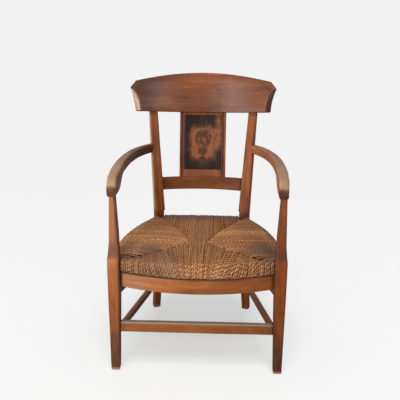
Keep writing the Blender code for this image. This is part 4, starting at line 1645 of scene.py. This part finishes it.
    def lower_rail_marks(self, point: Vector, normal: Vector) -> Marks:
        """Grime at the ends, darker upper and lower faces, and a lighter right half, which is painted light.
        """
        grime = max(0.8 * smooth(0.125, 0.148, abs(point.x)), 0.5 * smooth(0.6, 0.95, abs(normal.z)), 0.15)
        # The lighter right half is painted light.
        return Marks(0.0, grime, between(0.92, 1.12, smooth(-0.10, 0.13, point.x)))

    def build_lower_rail(self) -> None:
        """Build the lower rail between the stiles."""
        rise = self.lower_base + self.lower_height / 2
        half = self.posts.stile_x(rise)
        frame_in = self.posts.raked @ Matrix.Translation((0, self.sagitta(half), rise))
        turn_in = frame_in.to_3x3()
        height = (self.posts.raked @ Vector((0, 0, rise))).z
        sweep = math.asin((half - self.posts.section(height)[0] / 2 + self.lower_end) / self.radius)
        outline = rounded_outline(self.lower_thickness, self.lower_height, self.lower_corner)
        count = math.ceil(2 * sweep * self.radius / RING_GAP)
        stations = []
        for i in range(count + 1):
            angle = sweep * (2 * i / count - 1)
            arch = self.lower_arch * (1 - (angle / sweep) ** 2)
            origin = Vector((self.radius * math.sin(angle), self.radius * (math.cos(angle) - 1), arch))
            through = turn_in @ Vector((math.sin(angle), math.cos(angle), 0))
            along = angle * self.radius
            stations.append(flat_station(outline, frame_in @ origin, through, turn_in @ UP, along))
        shape_wood("lower_back_rail", stations, STILE_WOOD, self.lower_rail_marks, self.lower_tone)

    def splat_outline(self) -> list[OutlinePoint]:
        """The splat's section, with its two scratched lines.

        Returns:
            The points, anticlockwise, with the front at negative Y.
        """
        outline = rounded_outline(self.splat_width, self.splat_thickness, self.splat_corner)
        front = -self.splat_thickness / 2
        lip, floor = self.groove_width / 2, self.groove_width / 5
        cuts = []
        for middle in (-self.groove_x, self.groove_x):
            for x, deep in ((-lip, 0.0), (-floor, 1.0), (floor, 1.0), (lip, 0.0)):
                y = front + self.groove_depth * deep
                cuts.append(OutlinePoint(middle + x, y, 0.0, -1.0, 0.25 * (1 - deep)))
        flat = [spot for spot in outline if spot.ny < -0.99 and spot.edge < 0.01]
        kept = [spot for spot in outline if spot not in flat]
        at = next(i for i, spot in enumerate(kept) if spot.ny < 0 and spot.nx > 0)
        strip = [OutlinePoint(self.groove_x * share / 5, front, 0.0, -1.0, 0.0) for share in range(-4, 5)]
        face = sorted(cuts + strip + [flat[0], flat[-1]], key=lambda spot: spot.x)
        return kept[:at] + face + kept[at:]

    def splat_marks(self, point: Vector, normal: Vector) -> Marks:
        """Grime in the scratched lines and on the rear."""
        line = smooth(self.groove_width * 0.8, self.groove_width / 4, abs(abs(point.x) - self.groove_x))
        return Marks(0.0, line if normal.y < 0 else 0.35, between(1.0, 0.4, line))

    def build_splat(self) -> None:
        """Build the splat, which leans from the lower rail's sweep to the crest's."""
        base = self.lower_base + self.lower_height
        top = self.posts.crest_base
        deep_base = self.sagitta(self.posts.stile_x(self.lower_base + self.lower_height / 2))
        deep_top = self.sagitta(self.posts.top_x)
        turn_in = self.posts.raked.to_3x3()
        outline = self.splat_outline()
        stations = []
        panels = []
        for rise in spread([base - self.splat_end, top + self.splat_end]):
            deep = between(deep_base, deep_top, (rise - base) / (top - base))
            up = (rise - base - self.picture_low) / (self.picture_high - self.picture_low)
            station = []
            for x, y, nx, ny, edge in outline:
                point = self.posts.raked @ Vector((x, deep - self.sagitta(x) + y, rise))
                normal = turn_in @ self.swept(x, Vector((nx, ny, 0)))
                station.append(Spot(point, normal, Vector((rise, x, y)), edge))
                panels.append((x / self.picture_half, up, 1.0 if ny < -0.5 else 0.0))
            stations.append(station)
        piece = shape_wood("splat", stations, PANEL_WOOD, self.splat_marks)
        panel = piece.data.attributes.new("panel", "FLOAT_VECTOR", "POINT")
        for item, value in zip(panel.data, panels):
            item.vector = value

    def build(self) -> None:
        """Build the crest, the lower rail and the splat."""
        self.build_crest()
        self.build_lower_rail()
        self.build_splat()


# Arms


@dataclass
class Arms:
    """Arms that sweep from the raised front legs to the stiles, with a deep turned-down nose."""

    legs: FrontLegs
    posts: BackPosts
    overhang: float = 0.029
    inset: float = 0.005
    swell_out: float = 0.0075
    swell_back: float = 0.172
    bend_out: float = 0.0115
    bend_lead: float = 0.1085
    front_width: float = 0.034
    rear_width: float = 0.020
    width_curve: float = 2.0
    end_out: float = 0.0075
    block_height: float = 0.055
    block_margin: float = 0.003
    lift_length: float = 0.095
    rear_rise: float = 0.022
    thickness: float = 0.032
    nose_round: float = 0.030
    nose_drop: float = 0.027
    nose_taper: float = 0.002
    waist: float = 0.0038
    corner: float = 0.0065
    length: float = 0.5
    joint_gap: float = 0.008
    steps: int = 56
    nose_angles: tuple[int, ...] = (0, 12, 24, 36, 48, 60, 72, 82, 90)
    tones: dict[Side, float] = field(default_factory=lambda: {Side.LEFT: 0.92, Side.RIGHT: 1.16})

    @property
    def front_top(self) -> float:
        """Height of the arm's top at its front."""
        return self.legs.top_height + self.block_height

    @property
    def nose_y(self) -> float:
        """Depth of the nose."""
        return self.legs.post_setback - self.overhang

    @property
    def joint_height(self) -> float:
        """Height of the arm's middle where it meets the stile."""
        return self.front_top + self.rear_rise - self.thickness / 2

    def path(self, share: float) -> Vector:
        """The right arm's centre line in plan.

        Args:
            share: Share of the run, from the nose to the stile.

        Returns:
            The place, on the floor plane.
        """
        end = self.posts.centre(self.joint_height)
        front_x = self.legs.centre(self.legs.top_height).x - self.inset
        controls = (
            Vector((front_x, self.nose_y, 0)),
            Vector((front_x + self.swell_out, self.nose_y + self.swell_back, 0)),
            Vector((front_x + self.bend_out, end.y - self.bend_lead, 0)),
            Vector((end.x + self.end_out, end.y, 0)),
        )
        rest = 1 - share
        weights = (rest**3, 3 * share * rest**2, 3 * share**2 * rest, share**3)
        return sum((point * weight for point, weight in zip(controls, weights)), Vector())

    def heading(self, share: float, step: float = 0.01) -> Vector:
        """Direction of the right arm's centre line."""
        return (self.path(min(1.0, share + step)) - self.path(max(0.0, share - step))).normalized()

    def share_at(self, y: float) -> float:
        """Share of the run at which the centre line reaches a depth.

        Args:
            y: The depth.

        Returns:
            The share.
        """
        low, high = 0.0, 1.0
        for _ in range(40):
            middle = (low + high) / 2
            if self.path(middle).y < y:
                low = middle
            else:
                high = middle
        return high

    def levels(self, share: float) -> tuple[float, float, float]:
        """Top and underside of an arm.

        Args:
            share: Share of the run.

        Returns:
            Top, underside and how far the nose curls there.
        """
        top = self.front_top + self.rear_rise * (1 - (1 - share) ** 2)
        from_nose = self.path(share).y - self.nose_y
        block = self.overhang + self.legs.post_depth + self.block_margin
        lift = smooth(block, block + self.lift_length, from_nose)
        bottom = between(self.legs.top_height, top - self.thickness, lift)
        curl = max(0.0, 1 - from_nose / self.nose_round)
        return top - self.nose_drop * (1 - math.sqrt(1 - curl**2)), bottom, curl

    def marks(self, point: Vector, normal: Vector) -> Marks:
        """Pale wear along the top and over the nose's curve, which there also paints a highlight; a darker
        nose end, for its end grain and as painted shade; and painted shade on the inner face, most on the
        left arm.

        Args:
            point: A place on the arm.
            normal: The outward direction there.

        Returns:
            The marks.
        """
        back = point.y - self.nose_y
        handled = smooth(0.15, 0.75, normal.z) * between(0.35, 0.9, smooth(0.24, 0.07, back))
        handled *= smooth(0.42, 0.26, back)
        # Wear over the nose's curve, which also paints its highlight.
        brow_wear_and_highlight = smooth(0.596, 0.620, point.z) * smooth(0.034, 0.012, back)
        # The nose's end is darker for its end grain, and as painted shade.
        end = smooth(0.617, 0.594, point.z) * smooth(0.024, 0.008, back)
        # Painted shade on the inner face, heavier on the left arm.
        inward = smooth(0.3, 0.8, -math.copysign(normal.x, normal.x * point.x))
        inner = (0.60 if point.x < 0 else 0.15) * inward * smooth(0.1, 0.2, back)
        return Marks(max(handled, 0.8 * brow_wear_and_highlight), max(end, inner))

    def build(self) -> None:
        """Build both arms."""
        nose = [self.nose_round * (1 - math.cos(math.radians(angle))) for angle in self.nose_angles]
        shares = [self.share_at(self.nose_y + back) for back in nose]
        shares[0] = 0.0
        reach = 1 - self.joint_gap / self.length
        shares += [between(shares[-1], reach, i / self.steps) for i in range(1, self.steps + 1)]
        for side in Side:
            stations = []
            for share in shares:
                ahead = self.heading(share)
                top, bottom, curl = self.levels(share)
                width = between(self.front_width, self.rear_width, share**self.width_curve)
                from_nose = self.path(share).y - self.nose_y
                width -= self.nose_taper * curl + self.waist * smooth(0.12, 0.03, from_nose)
                corner = min(self.corner, (top - bottom) / 2.2, width / 2.2)
                outline = rounded_outline(width, top - bottom, corner)
                origin = self.path(share)
                origin.z = (top + bottom) / 2
                across = side.carry(Vector((ahead.y, -ahead.x, 0)))
                along = share * self.length
                stations.append(flat_station(outline, side.carry(origin), across, UP, along))
            shape_wood(f"arm_{side.label}", stations, ARM_WOOD, self.marks, self.tones[side])


# Pegs


@dataclass
class Pegs:
    """Whittled pegs that lock the tenons, a hair proud of the wood."""

    posts: BackPosts
    radius: float = 0.003
    sides: int = 12
    dome: float = 0.0007

    def build(self) -> None:
        """Build every peg along its node's own axis."""
        for node in sorted(name for name in SLOTS if name.startswith("peg_")):
            low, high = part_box(node)
            middle = (low + high) / 2 - Vector((0, FRONT_PLANE, 0))
            size = high - low
            longest = max(range(3), key=lambda i: size[i])
            axis = Vector([1.0 if i == longest else 0.0 for i in range(3)])
            length = size[longest]
            if node.startswith("peg_crest"):
                axis = Matrix.Rotation(-self.posts.rake, 3, "X") @ axis
                length -= 2 * self.radius * math.sin(self.posts.rake)
            self.peg(node, middle, axis, length)

    def peg(self, node: str, middle: Vector, axis: Vector, length: float) -> None:
        """Build one peg.

        Args:
            node: The peg's node.
            middle: Its middle.
            axis: Its direction.
            length: Its length.
        """
        across = axis.orthogonal().normalized()
        through = axis.cross(across)
        draw = random.Random(f"{SEED} {node}")
        facets = [1 + draw.uniform(-0.05, 0.0) for _ in range(self.sides)]
        ends = ((0.0, 0.55), (0.35, 0.86), (1.0, 1.0))
        profile = [(-length / 2 + self.dome * rise, wide) for rise, wide in ends]
        profile += [(length / 2 - self.dome * rise, wide) for rise, wide in reversed(ends)]
        stations = []
        for along, wide in profile:
            outline = []
            for i, facet in enumerate(facets):
                angle = 2 * math.pi * i / self.sides
                nx, ny = math.cos(angle), math.sin(angle)
                reach = self.radius * facet * wide
                outline.append(OutlinePoint(reach * nx, reach * ny, 0.0, 0.0, 0.0))
            stations.append(flat_station(outline, middle + axis * along, across, through, along))
        shape_wood(node, stations, PEG_WOOD)


# Rush


class CordPoint(NamedTuple):
    """A point of a cord: its place, how bleached it is there and half its width."""

    place: Vector
    pale: float
    wide: float


Line = tuple[tuple[float, float], ...]


@dataclass
class Cord:
    """One rush cord from the seam on top, round a rail and back to the seam below."""

    points: list[CordPoint]
    across: Vector
    high: float
    tone: float
    wound: float


@dataclass
class RushSeat:
    """Twisted rush cords woven round the four rails in four triangles, over a straw stuffing."""

    seat: SeatFrame
    pitch: float = 0.0057
    high: float = 0.0034
    overlap: float = 1.22
    sides: int = 8
    ring_gap: float = 0.0042
    twist_pitch: float = 0.034
    twist_depth: float = 0.06
    top: float = 0.388
    corner_top: float = 0.373
    rim_rise: float = 0.0245
    rim_reach: float = 0.0195
    rim_square: float = 0.62
    corner_reach: float = 0.0129
    corner_fall: float = 0.009
    side_swell: float = 0.019
    swell_curve: float = 1.4
    rear_lift: float = 0.0085
    lift_depths: tuple[float, float] = (0.030, 0.180)
    puff: float = 0.0035
    front_hang: float = 0.0025
    seam_dip: float = 0.0055
    seam_reach: float = 0.009
    bridge_half: float = 0.024
    bridge_y: float = 0.158
    front_seam: Line = ((0.064, 0.107), (0.109, 0.072), (0.156, 0.044), (0.237, 0.020))
    rear_seam: Line = ((0.062, 0.258), (0.093, 0.318), (0.132, 0.382), (0.160, 0.412))
    side_seam: Line = ((0.046, 0.026), (0.422, 0.410))
    rear_fan: float = 1.04
    rim_slant: float = 0.42
    top_slant: float = 0.22
    slant_turn: float = 0.195
    corner_slant: float = 11.0
    top_shares: tuple[float, ...] = (0.0, 0.05, 0.12, 0.22, 0.34, 0.46, 0.58, 0.70, 0.82, 0.92, 1.0)
    rim_angles: tuple[int, ...] = (72, 54, 36, 18, 0, -18, -36, -54, -72, -90)
    under_shares: tuple[float, ...] = (0.75, 0.4, 0.05)
    looks: dict[str, tuple[float, float, float]] = field(
        default_factory=lambda: {
            "front": (0.46, 0.25, 0.9),
            "right": (0.7, 0.5, 0.5),
            "back": (0.45, 0.3, 0.6),
            "left": (0.62, 0.5, 0.5),
        }
    )
    stuffing_inset: float = 0.0050
    stuffing_spokes: int = 13
    stuffing_over: tuple[float, ...] = (0.06, 0.3, 0.55, 0.8)
    stuffing_angles: tuple[int, ...] = (75, 40, 0, -40, -75)
    stuffing_under: tuple[float, ...] = (0.7, 0.35, 0.06)
    leg_gap: float = 0.0006

    def __post_init__(self) -> None:
        """Start the draw of each cord's own irregularities."""
        self.draw = random.Random(SEED)
        self.arcs = self.seat.rails()

    def seam_y(self, x: float, spots: Line) -> float:
        """Depth of a seam at a distance from the middle plane."""
        return read_line(((self.bridge_half, self.bridge_y), *spots), abs(x))[0]

    def seam_x(self, y: float) -> float:
        """Distance of the side seams from the middle plane at a depth."""
        spots = self.front_seam if y < self.bridge_y else self.rear_seam
        return read_line(sorted((deep, x) for x, deep in ((self.bridge_half, self.bridge_y), *spots)), y)[0]

    def front_slant(self, x: float) -> float:
        """How far a front cord leans outwards on its way back, which turns inwards by the legs."""
        lean = math.sin(math.pi * min(1.0, abs(x) / self.slant_turn)) ** 2
        return math.copysign(1.0, x) * (lean - self.corner_slant * max(0.0, abs(x) - self.slant_turn))

    def rise(self, place: Vector) -> float:
        """How far the rim's top lies above a rail: more behind, and less by the front legs."""
        fall = self.corner_fall * smooth(0.17, 0.24, abs(place.x)) * smooth(0.11, 0.02, place.y)
        return self.rim_rise + self.rear_lift * smooth(*self.lift_depths, place.y) - fall

    def peak(self, start: Vector) -> float:
        """Height of the seat's top at a seam, which falls towards the front legs."""
        fall = smooth(0.09, 0.235, abs(start.x)) * smooth(0.15, 0.03, start.y)
        return between(self.top, self.corner_top, fall)

    def reach(self, rail: str, share: float) -> float:
        """How far the rush reaches past a rail's centre line.

        Args:
            rail: The rail's name.
            share: Share of the rail, from -1 to 1.

        Returns:
            The reach.
        """
        reach = between(self.rim_reach, self.corner_reach, share**4)
        if rail in ("left", "right"):
            from_front = (1 + (share if rail == "right" else -share)) / 2
            reach += self.side_swell * math.sin(math.pi * from_front**self.swell_curve)
        return reach

    def seam_point(self, rail: str, share: float) -> Vector:
        """Where the cord over a place on a rail starts at the seam.

        Args:
            rail: The rail's name.
            share: Share of the rail, from -1 to 1.

        Returns:
            The start, at the rail's level.
        """
        place = self.arcs[rail].at(share)[0]
        if rail == "front":
            deep = self.seam_y(place.x, self.front_seam) - place.y
            x = place.x + self.top_slant * self.front_slant(place.x) * deep
            return Vector((x, self.seam_y(x, self.front_seam), place.z))
        if rail == "back":
            x = place.x * self.rear_fan
            return Vector((x, self.seam_y(x, self.rear_seam), place.z))
        (first, low), (last, high) = self.side_seam
        y = between(low, high, (place.y - first) / (last - first))
        return Vector((math.copysign(self.seam_x(y), place.x), y, place.z))

    def fan(self, rail: str, share: float, step: float = 0.02) -> float:
        """How much wider the cords lie at the seam than on the rail, along the rail.

        Args:
            rail: The rail's name.
            share: Share of the rail, from -1 to 1.
            step: How far to either side the two are compared.

        Returns:
            The ratio.
        """
        ahead = self.arcs[rail].at(share)[2]
        first, last = max(-1.0, share - step), min(1.0, share + step)
        run = (self.arcs[rail].at(last)[0] - self.arcs[rail].at(first)[0]).dot(ahead)
        return (self.seam_point(rail, last) - self.seam_point(rail, first)).dot(ahead) / run

    def cord(self, rail: str, share: float) -> Cord:
        """Lay one cord.

        Args:
            rail: The rail that it goes round.
            share: Share of the rail, from -1 to 1.

        Returns:
            The cord.
        """
        draw = self.draw
        place, outward, ahead = self.arcs[rail].at(share)
        start = self.seam_point(rail, share)
        high = self.high * draw.uniform(0.88, 1.06)
        wide = self.pitch / 2 * self.overlap * draw.uniform(0.92, 1.10)
        fan = min(1.9, max(0.9, self.fan(rail, share)))
        reach = self.reach(rail, share) - high + draw.uniform(-0.0009, 0.0006)
        top_rise = self.rise(place) - high + draw.uniform(-0.0011, 0.0003)
        low_rise = self.rim_rise - high + (self.front_hang if rail == "front" else 0.0)
        length = (place - start).length
        drift = [(knot / 4, draw.uniform(-0.0009, 0.0009)) for knot in range(5)]
        puff = self.puff * smooth(0.0, 0.12, length) + draw.uniform(-0.0009, 0.0006)
        slant = 0.0
        if rail == "front":
            slant = -self.rim_slant * self.front_slant(place.x) * self.rim_rise * math.pi
        limit = self.seat.legs.inner_x(self.seat.rail_level) - wide - self.leg_gap
        laid = []
        for t in self.top_shares:
            point = start.lerp(place, t)
            crown = between(self.peak(start) - high, place.z + top_rise, t * t)
            dip = self.seam_dip * smooth(self.seam_reach, 0.0, t * length) * smooth(0.0, 0.10, length)
            point.z = crown - dip + puff * math.sin(math.pi * t)
            laid.append((point, t * 0.5, 0.0, 0.0, between(fan, 1.0, t)))
        for angle in self.rim_angles:
            turn = math.radians(angle)
            square = self.rim_square if angle < 0 else 1.0
            point = place + outward * (reach * max(0.0, math.cos(turn)) ** square)
            rise = math.copysign(abs(math.sin(turn)) ** square, angle)
            point.z += (top_rise if angle > 0 else low_rise) * rise
            way = (90 - angle) / 180
            laid.append((point, 0.5 + 0.25 * way, smooth(40, -30, angle), slant * way, 1.0))
        for t in self.under_shares:
            point = start.lerp(place, t)
            point.z -= low_rise - 0.004 * (1 - t)
            laid.append((point, 1 - t * 0.25, 0.3, slant, between(fan, 1.0, t)))
        points = []
        for point, way, light, shift, swell in laid:
            point = point + ahead * (read_line(drift, way)[0] + shift)
            if rail == "front":
                point.x = min(limit, max(-limit, point.x))
            points.append(CordPoint(point, light, wide * swell))
        tone, vary, wound = self.looks[rail]
        return Cord(self.even_steps(points), ahead, high, tone + draw.uniform(-vary, vary), wound)

    def even_steps(self, points: Sequence[CordPoint]) -> list[CordPoint]:
        """Points at even steps along a broken line.

        Args:
            points: The line's points.

        Returns:
            The points and those between them.
        """
        made = [points[0]]
        for a, b in zip(points, points[1:]):
            count = max(1, round((b.place - a.place).length / self.ring_gap))
            for i in range(1, count + 1):
                pale, wide = between(a.pale, b.pale, i / count), between(a.wide, b.wide, i / count)
                made.append(CordPoint(a.place.lerp(b.place, i / count), pale, wide))
        return made

    def ends(self, rail: str) -> tuple[float, float]:
        """Shares of a rail between which its cords lie, clear of the uprights.

        Args:
            rail: The rail's name.

        Returns:
            First and last share.
        """
        legs, posts, level = self.seat.legs, self.seat.posts, self.seat.rail_level
        half = self.pitch * self.overlap / 2
        run = self.arcs[rail].half
        width, depth, _ = posts.section(level)
        if rail == "front":
            return -1 + half / run, 1 - half / run
        if rail == "back":
            gap = (width / 2 + half + 0.001) / run
            return -1 + gap, 1 - gap
        at_leg = (legs.back_y(level) - legs.centre(level).y + half) / run
        at_post = (depth / 2 + half * 0.8) / run
        return (-1 + at_leg, 1 - at_post) if rail == "right" else (-1 + at_post, 1 - at_leg)

    def cords(self) -> list[Cord]:
        """All the cords, rail by rail.

        Returns:
            The cords.
        """
        made = []
        for rail, arc in self.arcs.items():
            low, high = self.ends(rail)
            count = round(arc.length * (high - low) / 2 / self.pitch)
            for i in range(count + 1):
                shake = self.draw.uniform(-0.14, 0.14) * self.pitch / arc.half
                made.append(self.cord(rail, min(high, max(low, between(low, high, i / count) + shake))))
        return made

    def grime(self, point: Vector) -> float:
        """How much darker a place of the rush is drawn: in spots by the seams and corners, towards the back
        and along the side rims, and as painted shade on its underside.

        Args:
            point: The place.

        Returns:
            The darkening, from 0 to 1.
        """
        spots = (
            (-0.150, 0.075, 0.060, 0.70),
            (-0.215, 0.090, 0.065, 0.50),
            (0.205, 0.095, 0.080, 0.66),
            (0.150, 0.075, 0.050, 0.40),
            (-0.215, 0.030, 0.045, 0.55),
            (0.215, 0.030, 0.045, 0.50),
            (-0.165, 0.310, 0.100, 0.50),
            (0.165, 0.320, 0.090, 0.42),
            (-0.165, 0.010, 0.070, 0.40),
            (-0.130, -0.010, 0.120, 0.46),
        )
        most = 0.72 * smooth(0.31, 0.43, point.y)
        for x, y, size, amount in spots:
            away = math.hypot(point.x - x, point.y - y) / size
            most = max(most, amount * smooth(1.3, 0.2, away))
        edge = 0.55 * smooth(0.010, 0.030, self.past_rail(point)) * smooth(0.05, 0.12, point.y)
        # Painted shade on the seat's underside.
        below = 0.5 * smooth(0.350, 0.336, point.z) * smooth(0.03, 0.06, point.y)
        return max(most, edge, below)

    def past_rail(self, point: Vector) -> float:
        """How far a place lies outside the straight line of the side rails."""
        front, back = self.arcs["right"].start, self.arcs["right"].end
        return abs(point.x) - between(front.x, back.x, (point.y - front.y) / (back.y - front.y))

    def build_weave(self) -> None:
        """Build all the cords as one woven piece."""
        loft = Loft(lay=VECTOR, aging=VECTOR, wind=VECTOR)
        angles = [2 * math.pi * k / self.sides for k in range(self.sides)]
        for cord in self.cords():
            rows = []
            run = cord.tone
            last = len(cord.points) - 1
            for i, point in enumerate(cord.points):
                before = cord.points[max(0, i - 1)].place
                ahead = (cord.points[min(last, i + 1)].place - before).normalized()
                across = (cord.across - ahead * cord.across.dot(ahead)).normalized()
                up = ahead.cross(across)
                run += (point.place - before).length
                twist = 2 * math.pi * run / self.twist_pitch
                grime = self.grime(point.place)
                row = []
                for angle in angles:
                    lobe = math.cos(2 * (angle - twist))
                    fuller = 1 + self.twist_depth * lobe
                    out = across * (point.wide * math.cos(angle)) + up * (cord.high * math.sin(angle))
                    lay = Vector((run, lobe, cord.tone))
                    # The first number darkens the cord's sides as painted shade; the last is grime and
                    # painted shade.
                    aging = Vector((abs(math.cos(angle)), point.pale, grime))
                    wind = cord.wound * Vector((math.cos(2 * angle), math.sin(2 * angle), 0))
                    row.append(loft.point(point.place + out * fuller, lay=lay, aging=aging, wind=wind))
                rows.append(row)
            loft.join(rows)
        settle(loft.finish("rush_weave"), "rush_seat", RUSH_WOVEN.material())

    def stuffing_spoke(self, rail: str, share: float) -> list[Vector]:
        """The stuffing's outline over a place on a rail, from its middle over its rim to its underside.

        Args:
            rail: The rail's name.
            share: Share of the rail, from -1 to 1.

        Returns:
            The points.
        """
        inset = self.stuffing_inset
        place, outward, _ = self.arcs[rail].at(share)
        reach = self.reach(rail, share) - inset
        hub = Vector((max(-self.bridge_half, min(self.bridge_half, place.x)), self.bridge_y, place.z))
        spoke = []
        for way in self.stuffing_over:
            point = hub.lerp(place, way)
            point.z = between(self.peak(point), place.z + self.rise(place), way * way) - inset
            spoke.append(point)
        for angle in self.stuffing_angles:
            turn = math.radians(angle)
            rise = (self.rise(place) if angle > 0 else self.rim_rise) - inset
            spoke.append(place + outward * (reach * math.cos(turn)) + UP * (rise * math.sin(turn)))
        return spoke + [hub.lerp(place, way) + UP * (inset - self.rim_rise) for way in self.stuffing_under]

    def build_stuffing(self) -> None:
        """Build the straw that fills the seat between the cords' upper and lower runs."""
        spokes = []
        for rail in self.arcs:
            low, high = self.ends(rail)
            for i in range(self.stuffing_spokes):
                way = 0.01 + 0.98 * i / (self.stuffing_spokes - 1)
                spokes.append(self.stuffing_spoke(rail, between(low, high, way)))
        loft = Loft(lay=VECTOR, aging=VECTOR)
        # The stuffing is drawn darker, as painted shade between the cords.
        aging = Vector((0.7, 0.0, 0.3))
        rows = []
        for ring in zip(*spokes):
            lays = [Vector((point.x + point.y, point.z, 0.4)) for point in ring]
            rows.append([loft.point(point, lay=lay, aging=aging) for point, lay in zip(ring, lays)])
        loft.join(rows)
        stuffing = loft.finish("rush_stuffing")
        stuffing.data.materials.append(RUSH_WOVEN.material())
        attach(stuffing, "root")
        LOG.info("%s fills the seat", stuffing.name)

    def build(self) -> None:
        """Build the cords and the stuffing under them."""
        self.build_weave()
        self.build_stuffing()


# The studio


class LampKind(Enum):
    """What a lamp is, and with that what it lights."""

    CHAIR = "AREA"
    FLOOR = "SUN"


class Lamp(NamedTuple):
    """A soft lamp that points at the chair: its name, kind, place, width or angle, and power."""

    name: str
    kind: LampKind
    place: Vector
    width: float
    power: float


@dataclass
class Studio:
    """A pale floor, two soft windows on the left, weaker light from the right and above, and a white sky."""

    eye: Vector = field(default_factory=lambda: Vector((0.06489, -1.69435 + FRONT_PLANE, 1.04648)))
    yaw: float = math.radians(1.92)
    pitch_down: float = math.radians(15.66)
    roll: float = math.radians(0.48)
    lens: float = 54.0
    sensor: float = 36.0
    sky_shown: float = 0.887
    sky_light: float = 0.28
    sky_sheen: float = 0.45
    white: Colour = (1.0, 1.0, 1.0)
    floor_sheen: float = 0.1
    floor_tint: float = 0.42
    floor_glow: tuple[float, float] = (0.552, 0.510)
    floor_depths: tuple[float, float] = (-0.4, 2.0)
    floor_size: float = 60.0
    lamps: tuple[Lamp, ...] = (
        Lamp("window", LampKind.CHAIR, Vector((-0.95, -1.55, 0.42)), 0.9, 18.5),
        Lamp("key", LampKind.CHAIR, Vector((-0.60, -1.37, 1.22)), 0.35, 5.4),
        Lamp("fill", LampKind.CHAIR, Vector((0.80, -1.30, 1.22)), 0.35, 3.6),
        Lamp("ceiling", LampKind.CHAIR, Vector((0.0, -0.10, 2.30)), 1.5, 9.5),
        Lamp("doorway", LampKind.CHAIR, Vector((-1.60, -0.10, 1.05)), 0.6, 13.0),
        Lamp("above", LampKind.FLOOR, Vector((0.0, -1.45, 2.95)), math.radians(38), 2.25),
    )
    aim: Vector = field(default_factory=lambda: Vector((0.0, 0.0, 0.45)))

    def camera(self) -> None:
        """Set the camera at the photograph's angle."""
        data = bpy.data.cameras.new("camera")
        data.lens = self.lens
        data.sensor_width = self.sensor
        camera = add_object("camera", data)
        tilt = Matrix.Rotation(math.pi / 2 - self.pitch_down, 4, "X")
        turn = Matrix.Rotation(self.yaw, 4, "Z") @ tilt @ Matrix.Rotation(self.roll, 4, "Z")
        camera.matrix_world = Matrix.Translation(self.eye) @ turn
        bpy.context.scene.camera = camera

    def shown(self, graph: Graph, share: float) -> Wire:
        """1 for a ray that shows a surface directly or through glass, and a share of it in a sheen."""
        path = graph.wires(graph.node("LightPath"))
        return path["Is Camera Ray"] | path["Is Glossy Ray"] * share | path["Is Transmission Ray"]

    def sky(self) -> None:
        """Light the room evenly, with a near-white backdrop."""
        world = bpy.data.worlds.new("studio")
        world.use_nodes = True
        graph = Graph(world.node_tree)
        strength = self.shown(graph, self.sky_sheen) * (self.sky_shown - self.sky_light) + self.sky_light
        graph.fill(world.node_tree.nodes["Background"], {"Color": self.white, "Strength": strength})
        bpy.context.scene.world = world

    def floor(self) -> Piece:
        """Lay the pale floor.

        Returns:
            The floor.
        """
        mesh = bpy.data.meshes.new("floor")
        work = bmesh.new()
        bmesh.ops.create_grid(work, x_segments=2, y_segments=2, size=self.floor_size / 2)
        work.to_mesh(mesh)
        work.free()
        floor = add_object("floor", mesh)
        material, graph, shader = new_material("floor_pale")
        depth = graph.parts(graph.wires(graph.node("NewGeometry"))["Position"])[1]
        glow = graph.through(graph.node("MapRange"), depth, *self.floor_depths, *self.floor_glow)
        values = {
            "Base Color": (self.floor_tint,) * 3,
            "Roughness": 1.0,
            "Specular IOR Level": 0.0,
            "Emission Color": self.white,
            "Emission Strength": self.shown(graph, self.floor_sheen) * glow,
        }
        graph.fill(shader, values)
        mesh.materials.append(material)
        return floor

    def light(self, floor: Piece) -> None:
        """Hang the soft boxes for the chair, and a light from above for the floor and its shadow.

        Args:
            floor: The floor.
        """
        lit = {kind: bpy.data.collections.new(f"{kind.name.lower()}_lit") for kind in LampKind}
        for piece in bpy.context.scene.objects:
            if piece.type == "MESH":
                lit[LampKind.FLOOR if piece is floor else LampKind.CHAIR].objects.link(piece)
        for name, kind, place, width, power in self.lamps:
            data = bpy.data.lights.new(name, kind.value)
            data.energy = power
            setattr(data, "size" if kind is LampKind.CHAIR else "angle", width)
            lamp = add_object(name, data)
            aim = (self.aim - place).to_track_quat("-Z", "Y").to_matrix().to_4x4()
            lamp.matrix_world = Matrix.Translation(place) @ aim
            lamp.light_linking.receiver_collection = lit[kind]

    def build(self) -> None:
        """Set up the camera, the floor and the light."""
        self.camera()
        self.sky()
        self.light(self.floor())
        bpy.context.scene.view_settings.view_transform = "Standard"


def main() -> None:
    """Build the chair piece by piece, then the studio."""
    logging.basicConfig(level=logging.INFO, format="%(name)s: %(message)s")
    legs = FrontLegs()
    posts = BackPosts()
    seat = SeatFrame(legs, posts)
    legs.build()
    posts.build()
    seat.build()
    Stretchers(legs, posts).build()
    Back(posts).build()
    Arms(legs, posts).build()
    Pegs(posts).build()
    RushSeat(seat).build()
    Studio().build()


if __name__ == "__main__":
    main()
